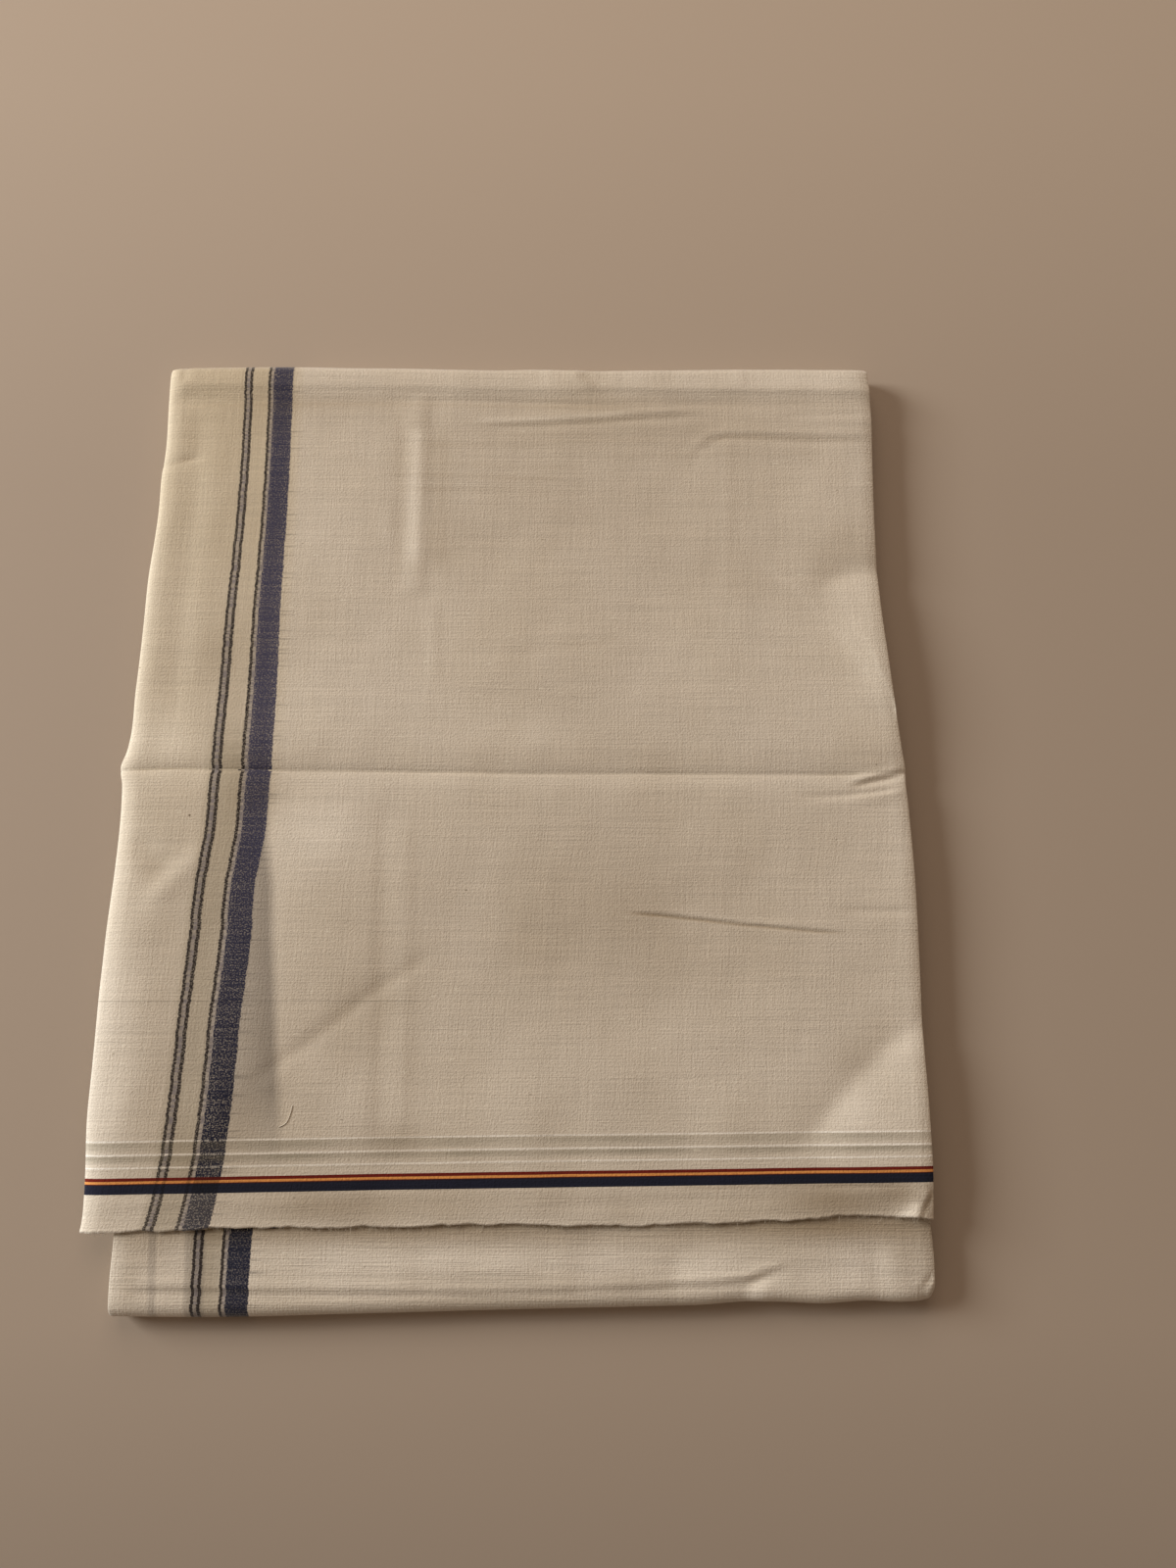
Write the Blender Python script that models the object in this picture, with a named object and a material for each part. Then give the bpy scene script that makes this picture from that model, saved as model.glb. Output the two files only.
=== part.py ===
"""A dhoti cloth, one unsewn length of woven cotton, folded into a flat pack and laid on a table.

The length is folded in four across, and the strip that makes is wound flat. Each leaf of the
pack is therefore four plies thick. X runs across the strip, Y from the near edge to the far
edge, and Z up from the table. All sizes below are in millimetres.
"""

import math
from collections import namedtuple

import bmesh
import bpy

MM = 0.001

# Driving sizes of the pack.
LENGTH = 406.8
HEIGHT = 12.4
WALL = 1.5
GAP = 0.3
FAR_Y = LENGTH / 2

# The top leaf wraps the whole height at the far edge, the under leaf what lies below it.
TOP_LEAF_RADIUS = HEIGHT / 2
UNDER_LEAF_TOP = HEIGHT - WALL - GAP
UNDER_LEAF_RADIUS = UNDER_LEAF_TOP / 2
FAR_ROLL_Y = FAR_Y - TOP_LEAF_RADIUS
HIDDEN_BOTTOM = WALL + GAP

# Sides of the top leaf, which was laid a little askew on the pack.
Sides = namedtuple("Sides", "y left right")
TOP_LEAF_SIDES = (
    Sides(-171.0, -167.0, 167.5),
    Sides(-150.0, -166.6, 168.1),
    Sides(-125.0, -168.2, 167.9),
    Sides(-105.0, -167.5, 167.6),
    Sides(-60.0, -166.8, 168.1),
    Sides(-25.0, -165.6, 167.9),
    Sides(5.0, -165.5, 166.3),
    Sides(14.0, -166.8, 165.9),
    Sides(27.0, -164.0, 165.9),
    Sides(50.0, -163.0, 162.6),
    Sides(80.0, -162.1, 160.3),
    Sides(100.0, -161.7, 159.3),
    Sides(130.0, -159.6, 159.3),
    Sides(160.0, -158.2, 159.8),
    Sides(200.0, -158.4, 159.5),
)
UNDER_LEAF_SIDES = (
    Sides(-203.0, -153.8, 167.4),
    Sides(-187.0, -154.4, 167.4),
    Sides(-171.0, -154.0, 166.8),
    Sides(-120.0, -154.5, 166.2),
    Sides(0.0, -155.0, 163.6),
    Sides(100.0, -155.5, 157.6),
    Sides(203.0, -155.5, 156.6),
)

# The cut end of the top leaf, and the near edge of the pack with its rounded right corner.
Edge = namedtuple("Edge", "x y")
CUT_END = (
    Edge(-168.0, -171.0),
    Edge(-138.0, -170.3),
    Edge(-94.0, -168.6),
    Edge(-29.0, -169.1),
    Edge(56.0, -167.9),
    Edge(120.0, -165.2),
    Edge(168.0, -166.0),
)
NEAR_EDGE = (
    Edge(-154.0, -203.1),
    Edge(-120.0, -203.4),
    Edge(-62.0, -202.5),
    Edge(2.0, -201.1),
    Edge(52.0, -199.6),
    Edge(145.0, -198.9),
    Edge(157.0, -198.3),
    Edge(164.0, -196.4),
    Edge(167.4, -192.0),
)

# Creases pressed through the pack: straight runs from x0, y0 to x1, y1, up where height is over 0.
Crease = namedtuple("Crease", "x0 y0 x1 y1 half_width height")
CREASES = (
    Crease(-168.0, 14.2, 168.0, 12.6, 4.0, -0.9),
    Crease(-12.0, 175.5, 76.0, 181.5, 6.0, 0.6),
    Crease(76.0, 158.0, 160.0, 167.0, 6.5, -0.6),
    Crease(48.0, -45.0, 135.0, -53.5, 5.0, -0.5),
    Crease(-147.0, 190.0, -150.0, 30.0, 8.0, -0.5),
)
CREASE_FADE = 14.0

# The outer edges of the top leaf droop, and its cut corner at the right has lifted.
DROOP = 1.0
DROOP_WIDTH = 7.0
LIFTED_CORNER = Edge(167.5, -166.0)
CORNER_LIFT = 1.5
CORNER_REACH = 16.0

# Rows across the strip: 0 is the cut end, 1 the start of the far roll, -1 that of the near roll.
TOP_ROWS = (
    0.0, 0.03, 0.08, 0.14, 0.2, 0.26, 0.3, 0.325, 0.35, 0.39, 0.44, 0.475, 0.488, 0.494,
    0.5, 0.506, 0.512, 0.525, 0.57, 0.64, 0.71, 0.78, 0.84, 0.875, 0.9, 0.92, 0.94, 0.955,
    0.97, 0.985, 1.0,
)
NEAR_ROWS = (0.0, -0.25, -0.5, -0.75, -1.0)
TUCKED_ROWS = (0.125, 0.08, 0.03)
STEP_ROW = 0.13
STEP_WIDTH = 0.001
BOTTOM_ROWS = (1.0, 0.75, 0.5, 0.25, 0.0, -0.5, -1.0)
UNDERSIDE_ROWS = 7
ROLL_STEPS = 8
INNER_FOLD_EASE = 0.85

# Columns: how far each lies from the nearer edge, then how many share the width between.
EDGE_COLUMNS = (0.5, 3.0, 7.0, 13.0, 22.0)
MIDDLE_COLUMNS = 8

# Folded leaves that show at the sides of the hidden solid, from the outermost in.
Leaf = namedtuple("Leaf", "outer inner inset")
SIDE_LEAVES = (
    Leaf(1.0, 0.68, 0.6),
    Leaf(0.68, 0.36, 2.2),
    Leaf(0.36, 0.06, 1.1),
)

# The lip of one leaf, from its outer face in: how far through the leaf, and how far set in.
Lip = namedtuple("Lip", "through inset")
LIPS = (Lip(0.06, 1.3), Lip(0.3, 0.15), Lip(0.65, 0.0))

Material = namedtuple("Material", "colour roughness")
CREAM_COTTON = Material((0.52, 0.44, 0.33), 0.9)
SHADED_COTTON = Material((0.44, 0.37, 0.28), 0.9)
EDGE_COTTON = Material((0.60, 0.53, 0.42), 0.92)


def read(table, at, column):
    """The value of one column of a table, at a place along its first column."""
    if at <= table[0][0]:
        return getattr(table[0], column)
    for low, high in zip(table, table[1:]):
        if at <= high[0]:
            share = (at - low[0]) / (high[0] - low[0])
            start = getattr(low, column)
            return start + share * (getattr(high, column) - start)
    return getattr(table[-1], column)


def near_roll_y(x):
    """Where the roll round the near edge has its centre."""
    return read(NEAR_EDGE, x, "y") + UNDER_LEAF_RADIUS


def row_y(x, row):
    """The Y of a row at this X: rows are parallel to the edges that they lie between."""
    cut = read(CUT_END, x, "y")
    if row >= 0:
        return cut + row * (FAR_ROLL_Y - cut)
    return cut - row * (near_roll_y(x) - cut)


def pressed(x, y):
    """How far the creases raise or lower the leaves here."""
    shift = 0.0
    for crease in CREASES:
        along_x, along_y = crease.x1 - crease.x0, crease.y1 - crease.y0
        length = math.hypot(along_x, along_y)
        along = ((x - crease.x0) * along_x + (y - crease.y0) * along_y) / length
        across = ((x - crease.x0) * along_y - (y - crease.y0) * along_x) / length
        past_end = max(-along, along - length, 0.0) / CREASE_FADE
        shift += crease.height * math.exp(-((across / crease.half_width) ** 2) - past_end**2)
    return shift


def drooped(x, y):
    """How far the outer edges of the top leaf, and all that lies under them, hang down."""
    from_left = x - read(TOP_LEAF_SIDES, y, "left")
    from_right = read(TOP_LEAF_SIDES, y, "right") - x
    near = max(min(from_left, from_right), 0.0)
    return -DROOP * max(0.0, 1.0 - near / DROOP_WIDTH) ** 2


def lifted(x, y):
    """How far the right corner of the cut end stands off the leaf below."""
    away = math.hypot(x - LIFTED_CORNER.x, y - LIFTED_CORNER.y)
    return CORNER_LIFT * max(0.0, 1.0 - away / CORNER_REACH) ** 2


def column_xs(left, right, lip=0.0):
    """The X of each column between two edges, both set in by the lip."""
    left, right = left + lip, right - lip
    reach = EDGE_COLUMNS[-1]
    step = (right - left - 2 * reach) / (MIDDLE_COLUMNS + 1)
    middle = [left + reach + step * i for i in range(1, MIDDLE_COLUMNS + 1)]
    near_left = [left + d for d in EDGE_COLUMNS]
    near_right = [right - d for d in reversed(EDGE_COLUMNS)]
    return near_left + middle + near_right


def roll_angles():
    """Angles round an edge, from straight up to straight down."""
    return [math.pi * i / ROLL_STEPS for i in range(1, ROLL_STEPS + 1)]


def wall_ring(xs, edges, point):
    """A closed ring round a wall: its outer face, one lip, its inner face and the other lip.

    point gives the place for an X and a distance out from the middle of the wall.
    """
    half = WALL / 2
    outer = [point(x, half) for x in xs]
    inner = [point(x, -half) for x in reversed(xs)]
    return outer + [point(edges[1], 0.0)] + inner + [point(edges[0], 0.0)]


def flat_point(row, middle_z, lift):
    """A point of a leaf that lies flat, at one row."""

    def point(x, out):
        y = row_y(x, row)
        return (x, y, middle_z + out + lift(x, y))

    return point


def roll_point(centre_y, centre_z, radius, angle, direction, lift):
    """A point of a leaf that turns round an edge of the pack."""

    def point(x, out):
        middle_y = centre_y(x)
        y = middle_y + direction * (radius + out) * math.sin(angle)
        fall = (1.0 + math.cos(angle)) / 2
        z = centre_z + (radius + out) * math.cos(angle) + fall * lift(x, middle_y)
        return (x, y, z)

    return point


def loft(name, rings, material, close_ends):
    """A closed solid through rings of equal length, each joined to the next."""
    bm = bmesh.new()
    rows = [[bm.verts.new([value * MM for value in point]) for point in ring] for ring in rings]
    for first, second in zip(rows, rows[1:]):
        for i, corner in enumerate(first):
            j = (i + 1) % len(first)
            bm.faces.new((corner, first[j], second[j], second[i]))
    for ring in (rows[0], rows[-1]):
        close_ends(bm, ring)
    bmesh.ops.recalc_face_normals(bm, faces=bm.faces)
    mesh = bpy.data.meshes.new(name)
    bm.to_mesh(mesh)
    bm.free()
    mesh.shade_smooth()
    mesh.set_sharp_from_angle(angle=math.radians(40))
    mesh.materials.append(cotton(name, material))
    solid = bpy.data.objects.new(name, mesh)
    bpy.context.collection.objects.link(solid)
    return solid


def close_wall(bm, ring):
    """The end of a wall: strips between its two faces, and a triangle at each lip."""
    columns = (len(ring) - 2) // 2
    outer, inner = ring[:columns], ring[columns + 1 : -1][::-1]
    for i in range(columns - 1):
        bm.faces.new((outer[i], outer[i + 1], inner[i + 1], inner[i]))
    bm.faces.new((outer[-1], ring[columns], inner[-1]))
    bm.faces.new((outer[0], inner[0], ring[-1]))


def close_middle(bm, ring):
    """The narrow slot that is left inside the innermost fold."""
    bm.faces.new(ring)


def cotton(name, material):
    """A matt cotton finish of one colour."""
    finish = bpy.data.materials.new(name)
    finish.use_nodes = True
    shader = finish.node_tree.nodes["Principled BSDF"]
    shader.inputs["Base Color"].default_value = (*material.colour, 1.0)
    shader.inputs["Roughness"].default_value = material.roughness
    shader.inputs["Metallic"].default_value = 0.0
    return finish


def build_top_leaf():
    """The last leaf: from its cut end, over the pack and down round the far edge."""
    middle_z = HEIGHT - WALL / 2

    def lift(x, y):
        return pressed(x, y) + drooped(x, y) + lifted(x, y)

    rings = []
    for row in TOP_ROWS:
        y = row_y(0.0, row)
        edges = (read(TOP_LEAF_SIDES, y, "left"), read(TOP_LEAF_SIDES, y, "right"))
        rings.append(wall_ring(column_xs(*edges), edges, flat_point(row, middle_z, lift)))
    radius = TOP_LEAF_RADIUS - WALL / 2
    for angle in roll_angles():
        point = roll_point(lambda x: FAR_ROLL_Y, TOP_LEAF_RADIUS, radius, angle, 1, lift)
        rings.append(wall_ring(column_xs(*edges), edges, point))
    return loft("top_leaf", rings, CREAM_COTTON, close_wall)


def build_under_leaf():
    """The leaf that shows past the cut end: tucked in, round the near edge, and underneath."""
    middle_z = UNDER_LEAF_TOP - WALL / 2
    radius = UNDER_LEAF_RADIUS - WALL / 2

    def lift(x, y):
        return pressed(x, y) + drooped(x, y)

    rings = []
    for row in TUCKED_ROWS + NEAR_ROWS:
        y = row_y(0.0, row)
        edges = (read(UNDER_LEAF_SIDES, y, "left"), read(UNDER_LEAF_SIDES, y, "right"))
        rings.append(wall_ring(column_xs(*edges), edges, flat_point(row, middle_z, lift)))
    for angle in roll_angles():
        point = roll_point(near_roll_y, UNDER_LEAF_RADIUS, radius, angle, -1, lift)
        rings.append(wall_ring(column_xs(*edges), edges, point))
    for i in range(1, UNDERSIDE_ROWS + 1):
        share = i / UNDERSIDE_ROWS

        def point(x, out, share=share):
            start = near_roll_y(x)
            return (x, start + share * (FAR_ROLL_Y - GAP - start), WALL / 2 - out)

        y = point(0.0, 0.0)[1]
        edges = (read(UNDER_LEAF_SIDES, y, "left"), read(UNDER_LEAF_SIDES, y, "right"))
        rings.append(wall_ring(column_xs(*edges), edges, point))
    return loft("under_leaf", rings, SHADED_COTTON, close_wall)


def hidden_top(row):
    """The top of the hidden leaves: lower where the under leaf still lies over them."""
    if row < STEP_ROW:
        return UNDER_LEAF_TOP - WALL - GAP
    return UNDER_LEAF_TOP


def hidden_point(x, row, side, share):
    """A point of the hidden leaves' outline, drawn in towards their middle line by the share."""
    y = row_y(x, row)
    middle = (hidden_top(row) + HIDDEN_BOTTOM) / 2
    half = share * (hidden_top(row) - HIDDEN_BOTTOM) / 2
    weight = (1.0 + side * share) / 2
    return (x, y, middle + side * half + weight * (pressed(x, y) + drooped(x, y)))


def hidden_end(x, row, direction, angle, share):
    """A point of the rounded end of the hidden leaves, inside the near or the far roll."""
    y = row_y(x, row)
    middle = (hidden_top(row) + HIDDEN_BOTTOM) / 2
    half = share * (hidden_top(row) - HIDDEN_BOTTOM) / 2
    weight = (1.0 + share * math.cos(angle)) / 2
    z = middle + half * math.cos(angle) + weight * (pressed(x, y) + drooped(x, y))
    return (x, y + direction * INNER_FOLD_EASE * half * math.sin(angle), z)


def hidden_ring(side_x, share):
    """The outline of the hidden leaves, seen from the side: top, far end, bottom, near end.

    side_x gives the X at each row.
    """
    steps = roll_angles()[:-1]
    top_rows = sorted(set(TOP_ROWS + NEAR_ROWS + (STEP_ROW - STEP_WIDTH, STEP_ROW)))
    ring = [hidden_point(side_x(row), row, 1, share) for row in top_rows]
    ring += [hidden_end(side_x(1.0), 1.0, 1, angle, share) for angle in steps]
    ring += [hidden_point(side_x(row), row, -1, share) for row in BOTTOM_ROWS]
    ring += [hidden_end(side_x(-1.0), -1.0, -1, angle, share) for angle in reversed(steps)]
    return ring


def leaf_profile():
    """Each side ring as its share of the height and its inset: a round lip for each leaf."""
    profile = []
    for leaf in SIDE_LEAVES:
        for lip in LIPS:
            share = leaf.outer - lip.through * (leaf.outer - leaf.inner)
            profile.append((share, leaf.inset + lip.inset))
    innermost = SIDE_LEAVES[-1]
    profile.append((innermost.inner, innermost.inset + LIPS[0].inset))
    return profile


def build_hidden_folds():
    """The leaves between: one rounded solid, whose sides show the folded leaves as lips."""

    def side_x(column, inset):
        def x_at(row):
            y = row_y(0.0, row)
            left = read(UNDER_LEAF_SIDES, y, "left") + inset
            right = read(UNDER_LEAF_SIDES, y, "right") - inset
            return column_xs(left, right, -EDGE_COLUMNS[0])[column]

        return x_at

    last = len(column_xs(0.0, 1.0)) - 1
    profile = leaf_profile()
    rings = [hidden_ring(side_x(0, inset), share) for share, inset in reversed(profile)]
    outer_inset = profile[0][1]
    for column in range(1, last):
        rings.append(hidden_ring(side_x(column, outer_inset), 1.0))
    rings += [hidden_ring(side_x(last, inset), share) for share, inset in profile]
    return loft("hidden_folds", rings, EDGE_COTTON, close_middle)


def clear_scene():
    for existing in list(bpy.data.objects):
        bpy.data.objects.remove(existing, do_unlink=True)


clear_scene()
build_hidden_folds()
build_under_leaf()
build_top_leaf()
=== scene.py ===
"""A dhoti cloth: one unsewn length of striped plain-weave cotton, folded in four across, wound
flat into a pack of nine leaves and laid on a table. X runs across the strip, Y from the near edge
to the far one, Z up. Sizes in the tables are in millimetres."""

import math
from collections import namedtuple

import bpy
import numpy as np
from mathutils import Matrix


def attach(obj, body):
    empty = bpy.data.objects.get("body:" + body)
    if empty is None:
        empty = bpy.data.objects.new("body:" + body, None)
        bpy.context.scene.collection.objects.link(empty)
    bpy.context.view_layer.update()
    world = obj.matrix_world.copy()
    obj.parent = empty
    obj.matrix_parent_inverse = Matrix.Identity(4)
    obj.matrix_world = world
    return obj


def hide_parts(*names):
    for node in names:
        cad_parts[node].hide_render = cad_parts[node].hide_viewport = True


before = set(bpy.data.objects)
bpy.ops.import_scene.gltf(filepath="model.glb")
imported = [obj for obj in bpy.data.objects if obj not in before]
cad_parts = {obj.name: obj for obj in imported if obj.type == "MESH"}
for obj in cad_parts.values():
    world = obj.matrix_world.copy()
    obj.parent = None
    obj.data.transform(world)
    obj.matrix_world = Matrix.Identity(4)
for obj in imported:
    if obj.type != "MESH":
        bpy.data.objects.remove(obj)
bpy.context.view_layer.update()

# Top leaf
# The last leaf of the strip, from its cut end over the far edge of the pack. It is four plies of
# the cotton: the outer ply turns under at the left over a soft fold, and at the right over a flat
# one. It was laid a little askew, so its sides overhang the pack.

MM = 0.001
PACK_HEIGHT = 12.4
PLY = 0.34
LEFT_FOLD_RADIUS = 0.75
RIGHT_FOLD_RADIUS = 0.38
FAR_EDGE_Y = 203.4
FAR_ROLL_RADIUS = PACK_HEIGHT / 2
FAR_ROLL_Y = FAR_EDGE_Y - FAR_ROLL_RADIUS


def rows_of(kind, *rows):
    """A table whose rows are all of one kind."""
    return [kind(*row) for row in rows]


def smooth(share):
    """Eases a share from 0 to 1 in and out."""
    return share * share * (3 - 2 * share)


def ramp(value, start, end):
    """How far a value has gone from start to end, as a share from 0 to 1."""
    return np.clip((value - start) / (end - start), 0, 1)


def bell(away, reach):
    """A rounded rise of height 1, that fades out over about the reach."""
    return np.exp(-((away / reach) ** 2))


Sides = namedtuple("Sides", "y left right")
TOP_LEAF_SIDES = rows_of(
    Sides, (-171, -168.2, 167.2), (-165, -167.3, 167.6), (-150, -167.2, 168.1), (-125, -168.4, 168),
    (-105, -168.2, 167.6), (-60, -167.3, 168.1), (-25, -165.6, 167.9), (0, -165.3, 167),
    (8, -165.8, 166.6), (14.2, -167.1, 166.9), (21, -164.9, 166), (50, -163.2, 162.9),
    (80, -162.1, 160.3), (100, -161.7, 159.3), (130, -159.6, 159.3), (154, -159.2, 159.8),
    (158, -158.8, 159.9), (190, -159, 160.2), (200, -159, 159.5),
)
Across = namedtuple("Across", "x y")
CUT_END = rows_of(
    Across, (-168, -171.2), (-156, -171.3), (-128, -169.8), (-102, -169), (-86, -169.5), (-45, -168.5),
    (28, -168.1), (70, -168), (93, -166.9), (120, -165.4), (140, -164.9), (168, -166),
)
MID_CREASE = rows_of(
    Across, (-168, 14.2), (-145, 15.1), (-102, 14.3), (-50, 13.8), (0, 13), (73, 12.7), (134, 12.4),
    (168, 13.6),
)


def read(table, at, column):
    """One column of a table, read along its first column and eased between its rows."""
    key = np.array([row[0] for row in table], float)
    value = np.array([getattr(row, column) for row in table], float)
    slope = np.gradient(value, key)
    at = np.clip(at, key[0], key[-1])
    low = np.clip(np.searchsorted(key, at) - 1, 0, len(key) - 2)
    step = key[low + 1] - key[low]
    t = (at - key[low]) / step
    leave = t * (1 - t) ** 2 * step * slope[low]
    arrive = t * t * (t - 1) * step * slope[low + 1]
    return value[low] + smooth(t) * (value[low + 1] - value[low]) + leave + arrive


# Folds and creases pressed into the leaves. A sharp one comes to a line, a soft one is rounded,
# and a lip is high on the left of its run and low on the right. A fold fades out over its taper.
Fold = namedtuple("Fold", "run width height taper shape", defaults=["soft"])
RIGHT_CREASE = [(178, 105.5), (157.7, 104.8), (150.5, 104.1), (140.3, 100.8), (128, 95)]
LOW_CREASE = [
    (176, -83), (165.8, -91.4), (155.3, -97.7), (140.4, -111.5), (125, -129.5), (113, -140)
]
TOP_LEAF_FOLDS = rows_of(
    Fold,
    (MID_CREASE, 3.4, -1.1, 0, "sharp"),
    (MID_CREASE, 0.8, -0.3, 0, "sharp"),
    ([(141, 7.6), (148, 9.6), (156, 11.6), (168, 13.8)], 1.5, 0.74, 8, "lip"),
    ([(119, 1.7), (131, 1.5), (140, 1.9), (152, 3.6), (168, 6.2)], 1.3, -0.47, 12, "lip"),
    ([(46, -45.6), (68, -47.7), (97, -51), (125, -53.6), (141, -54.5)], 0.6, -0.9, 16, "sharp"),
    ([(46, -44.6), (68, -46.6), (97, -49.9), (125, -52.5), (141, -53.4)], 2.4, 0.25, 16),
    ([(133, -44.7), (145, -45.5), (169, -45.6)], 1.8, -0.39, 10),
    ([(0, 67.8), (20, 68.8), (36, 70.8), (52, 74.7)], 1.8, -0.28, 14),
    ([(-30, -62.5), (-38, -66.7), (-54, -76.7), (-70, -89.7), (-94, -107.7),
        (-106, -116)], 1.7, -0.62, 10),
    ([(-36, -66), (-54, -78), (-70, -91), (-90, -105)], 6.5, -0.3, 14),
    ([(-20, 174.6), (0, 175), (20, 175.6), (40, 176.8), (59, 178.6), (90, 180.4)], 1.5, 0.4, 22, "lip"),
    ([(75, 151), (80, 160), (87, 167.5), (95, 169.4), (120, 168.4), (169, 167)], 1.7, 0.36, 24, "lip"),
    ([(-160, 190.2), (-57, 189.4), (3, 188.6), (103, 188.2), (172, 187.4)], 3.4, 0.62, 10, "lip"),
    ([(-160, 191.6), (-101, 191.2), (-57, 190.9), (-20, 190.6)], 1.8, -0.35, 24),
    ([(-60, 190.4), (3, 189.8), (60, 189.6)], 2.4, -0.25, 20),
    ([(25, 189.7), (103, 189.2), (172, 188.2)], 2, -0.3, 18),
    ([(-155, 191.2), (-57, 190.7), (3, 190), (103, 189.4), (170, 188.4)], 0.7, -0.1, 30, "sharp"),
    ([(-62, 186.9), (1, 185.7), (55, 183.3)], 1, -0.25, 16),
    ([(116, 178.4), (164, 179.7)], 1.4, -0.44, 12),
    ([(-162, 155), (-155, 155.4), (-150, 156.2), (-141, 158.6)], 1.5, -0.95, 5, "sharp"),
    ([(-43.6, 191), (-43.3, 142), (-42.9, 93)], 3.4, 0.4, 4),
    ([(-57.5, 138), (-57, 112)], 2.4, 0.16, 8),
    ([(-52.5, 186), (-51.5, 142), (-51, 92)], 1.8, -0.24, 10),
    ([(-38.5, 186), (-38.2, 142), (-38, 93)], 1.8, -0.22, 10),
    ([(-50, 91), (-40, 91.5), (-33, 92)], 1.8, -0.28, 5),
    ([(-35.5, 92), (-34.5, 50)], 2.2, 0.32, 10),
    ([(-78, 83.7), (-45, 82.8)], 1.2, 0.14, 12),
    ([(-54, 6), (-53, -60), (-52, -110), (-51, -146)], 2.4, -0.36, 20),
    ([(-44.4, 0), (-43.2, -70), (-42, -140)], 2.6, 0.3, 20),
    ([(94.9, 176), (93.8, 130), (92.7, 87)], 1.8, 0.18, 18),
    ([(-144, 192), (-143, 150), (-145, 95), (-145.5, 30)], 5, -0.5, 20),
    ([(-135, 190), (-134, 100), (-137, 40)], 6, 0.15, 30),
    ([(-158, -12), (-148.5, -27), (-139, -33)], 5.5, -0.95, 10),
    ([(-124, -18), (-139, -30.5), (-151, -45)], 4.5, 0.79, 12),
    ([(-153, -38), (-153.5, -95), (-156, -150)], 9, 0.5, 16),
    ([(-160, -100), (-160.5, -150)], 2.6, -0.14, 16),
    ([(122, 97), (128, 90), (141, 73), (152, 57), (163, 40)], 0.9, 0.13, 12),
    ([(159, -169), (161.6, -162.5), (166.4, -154)], 3.2, 0.75, 3, "sharp"),
    ([(161.2, -169), (163.8, -162), (168.4, -154.5)], 1, -0.75, 2, "sharp"),
    ([(-158.5, 204), (-152, 197.6), (-146.5, 203)], 1.6, -0.61, 5),
    ([(18, 203), (26, 198), (35, 191)], 1.6, 0.6, 5),
    ([(8, 202), (11, 196), (12, 192)], 1.6, -0.25, 4),
    ([(43, 202), (44, 197), (45, 192)], 2, 0.25, 4),
    ([(70, 202), (71, 197), (71, 192)], 2.4, -0.21, 4),
    ([(100, 202), (101, 197), (103, 192)], 2.8, 0.21, 4),
    ([(-97, -18), (-99, -53), (-97, -75), (-93, -123)], 3, -0.25, 20),
    ([(-170, -161), (-120, -159.5), (-60, -160)], 2.2, 0.25, 25),
    ([(10, -161), (80, -159), (130, -157)], 2.2, -0.28, 25),
    ([(70, -155.5), (120, -154.2), (166, -153)], 1.3, -0.22, 20),
    (RIGHT_CREASE, 4.2, -0.85, 16, "sharp"),
    (LOW_CREASE, 4.5, -0.35, 14),
)

# Facets, where a crease turns the cloth to the light: it rises on the left of each run, and
# settles again towards the cut end.
TOP_LEAF_FACETS = rows_of(
    Fold, (RIGHT_CREASE, 13, 1.15, 16, "facet"), (LOW_CREASE, 19, 2.3, 16, "facet")
)

# Broad swells and hollows of the leaves, each turned by some degrees from the X axis.
Swell = namedtuple("Swell", "x y reach_x reach_y height turn", defaults=[0])
TOP_LEAF_SWELLS = rows_of(
    Swell, (-86, -12, 20, 12, 0.75, -25), (60, 118, 46, 30, -0.5, 10), (120, 130, 26, 18, -0.45),
    (174, 72, 26, 26, 1.1), (5, 140, 30, 46, -0.55), (-75, 140, 22, 60, 0.45), (-5, 60, 34, 26, 0.45, 20),
    (95, 40, 40, 18, 0.45), (-10, -60, 40, 46, -0.7), (45, -70, 36, 14, -0.35, -8),
    (100, -28, 40, 16, -0.4, 15), (60, -105, 40, 16, 0.4, 10), (-78, -120, 20, 24, 0.4),
    (118, -92, 30, 13, -0.4, 25), (-120, 60, 14, 60, 0.2), (8, -132, 11, 24, 0.42, 4),
    (36, -128, 9, 20, 0.25, -5), (84, -130, 12, 18, 0.38), (-20, -140, 8, 14, 0.22),
)

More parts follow.
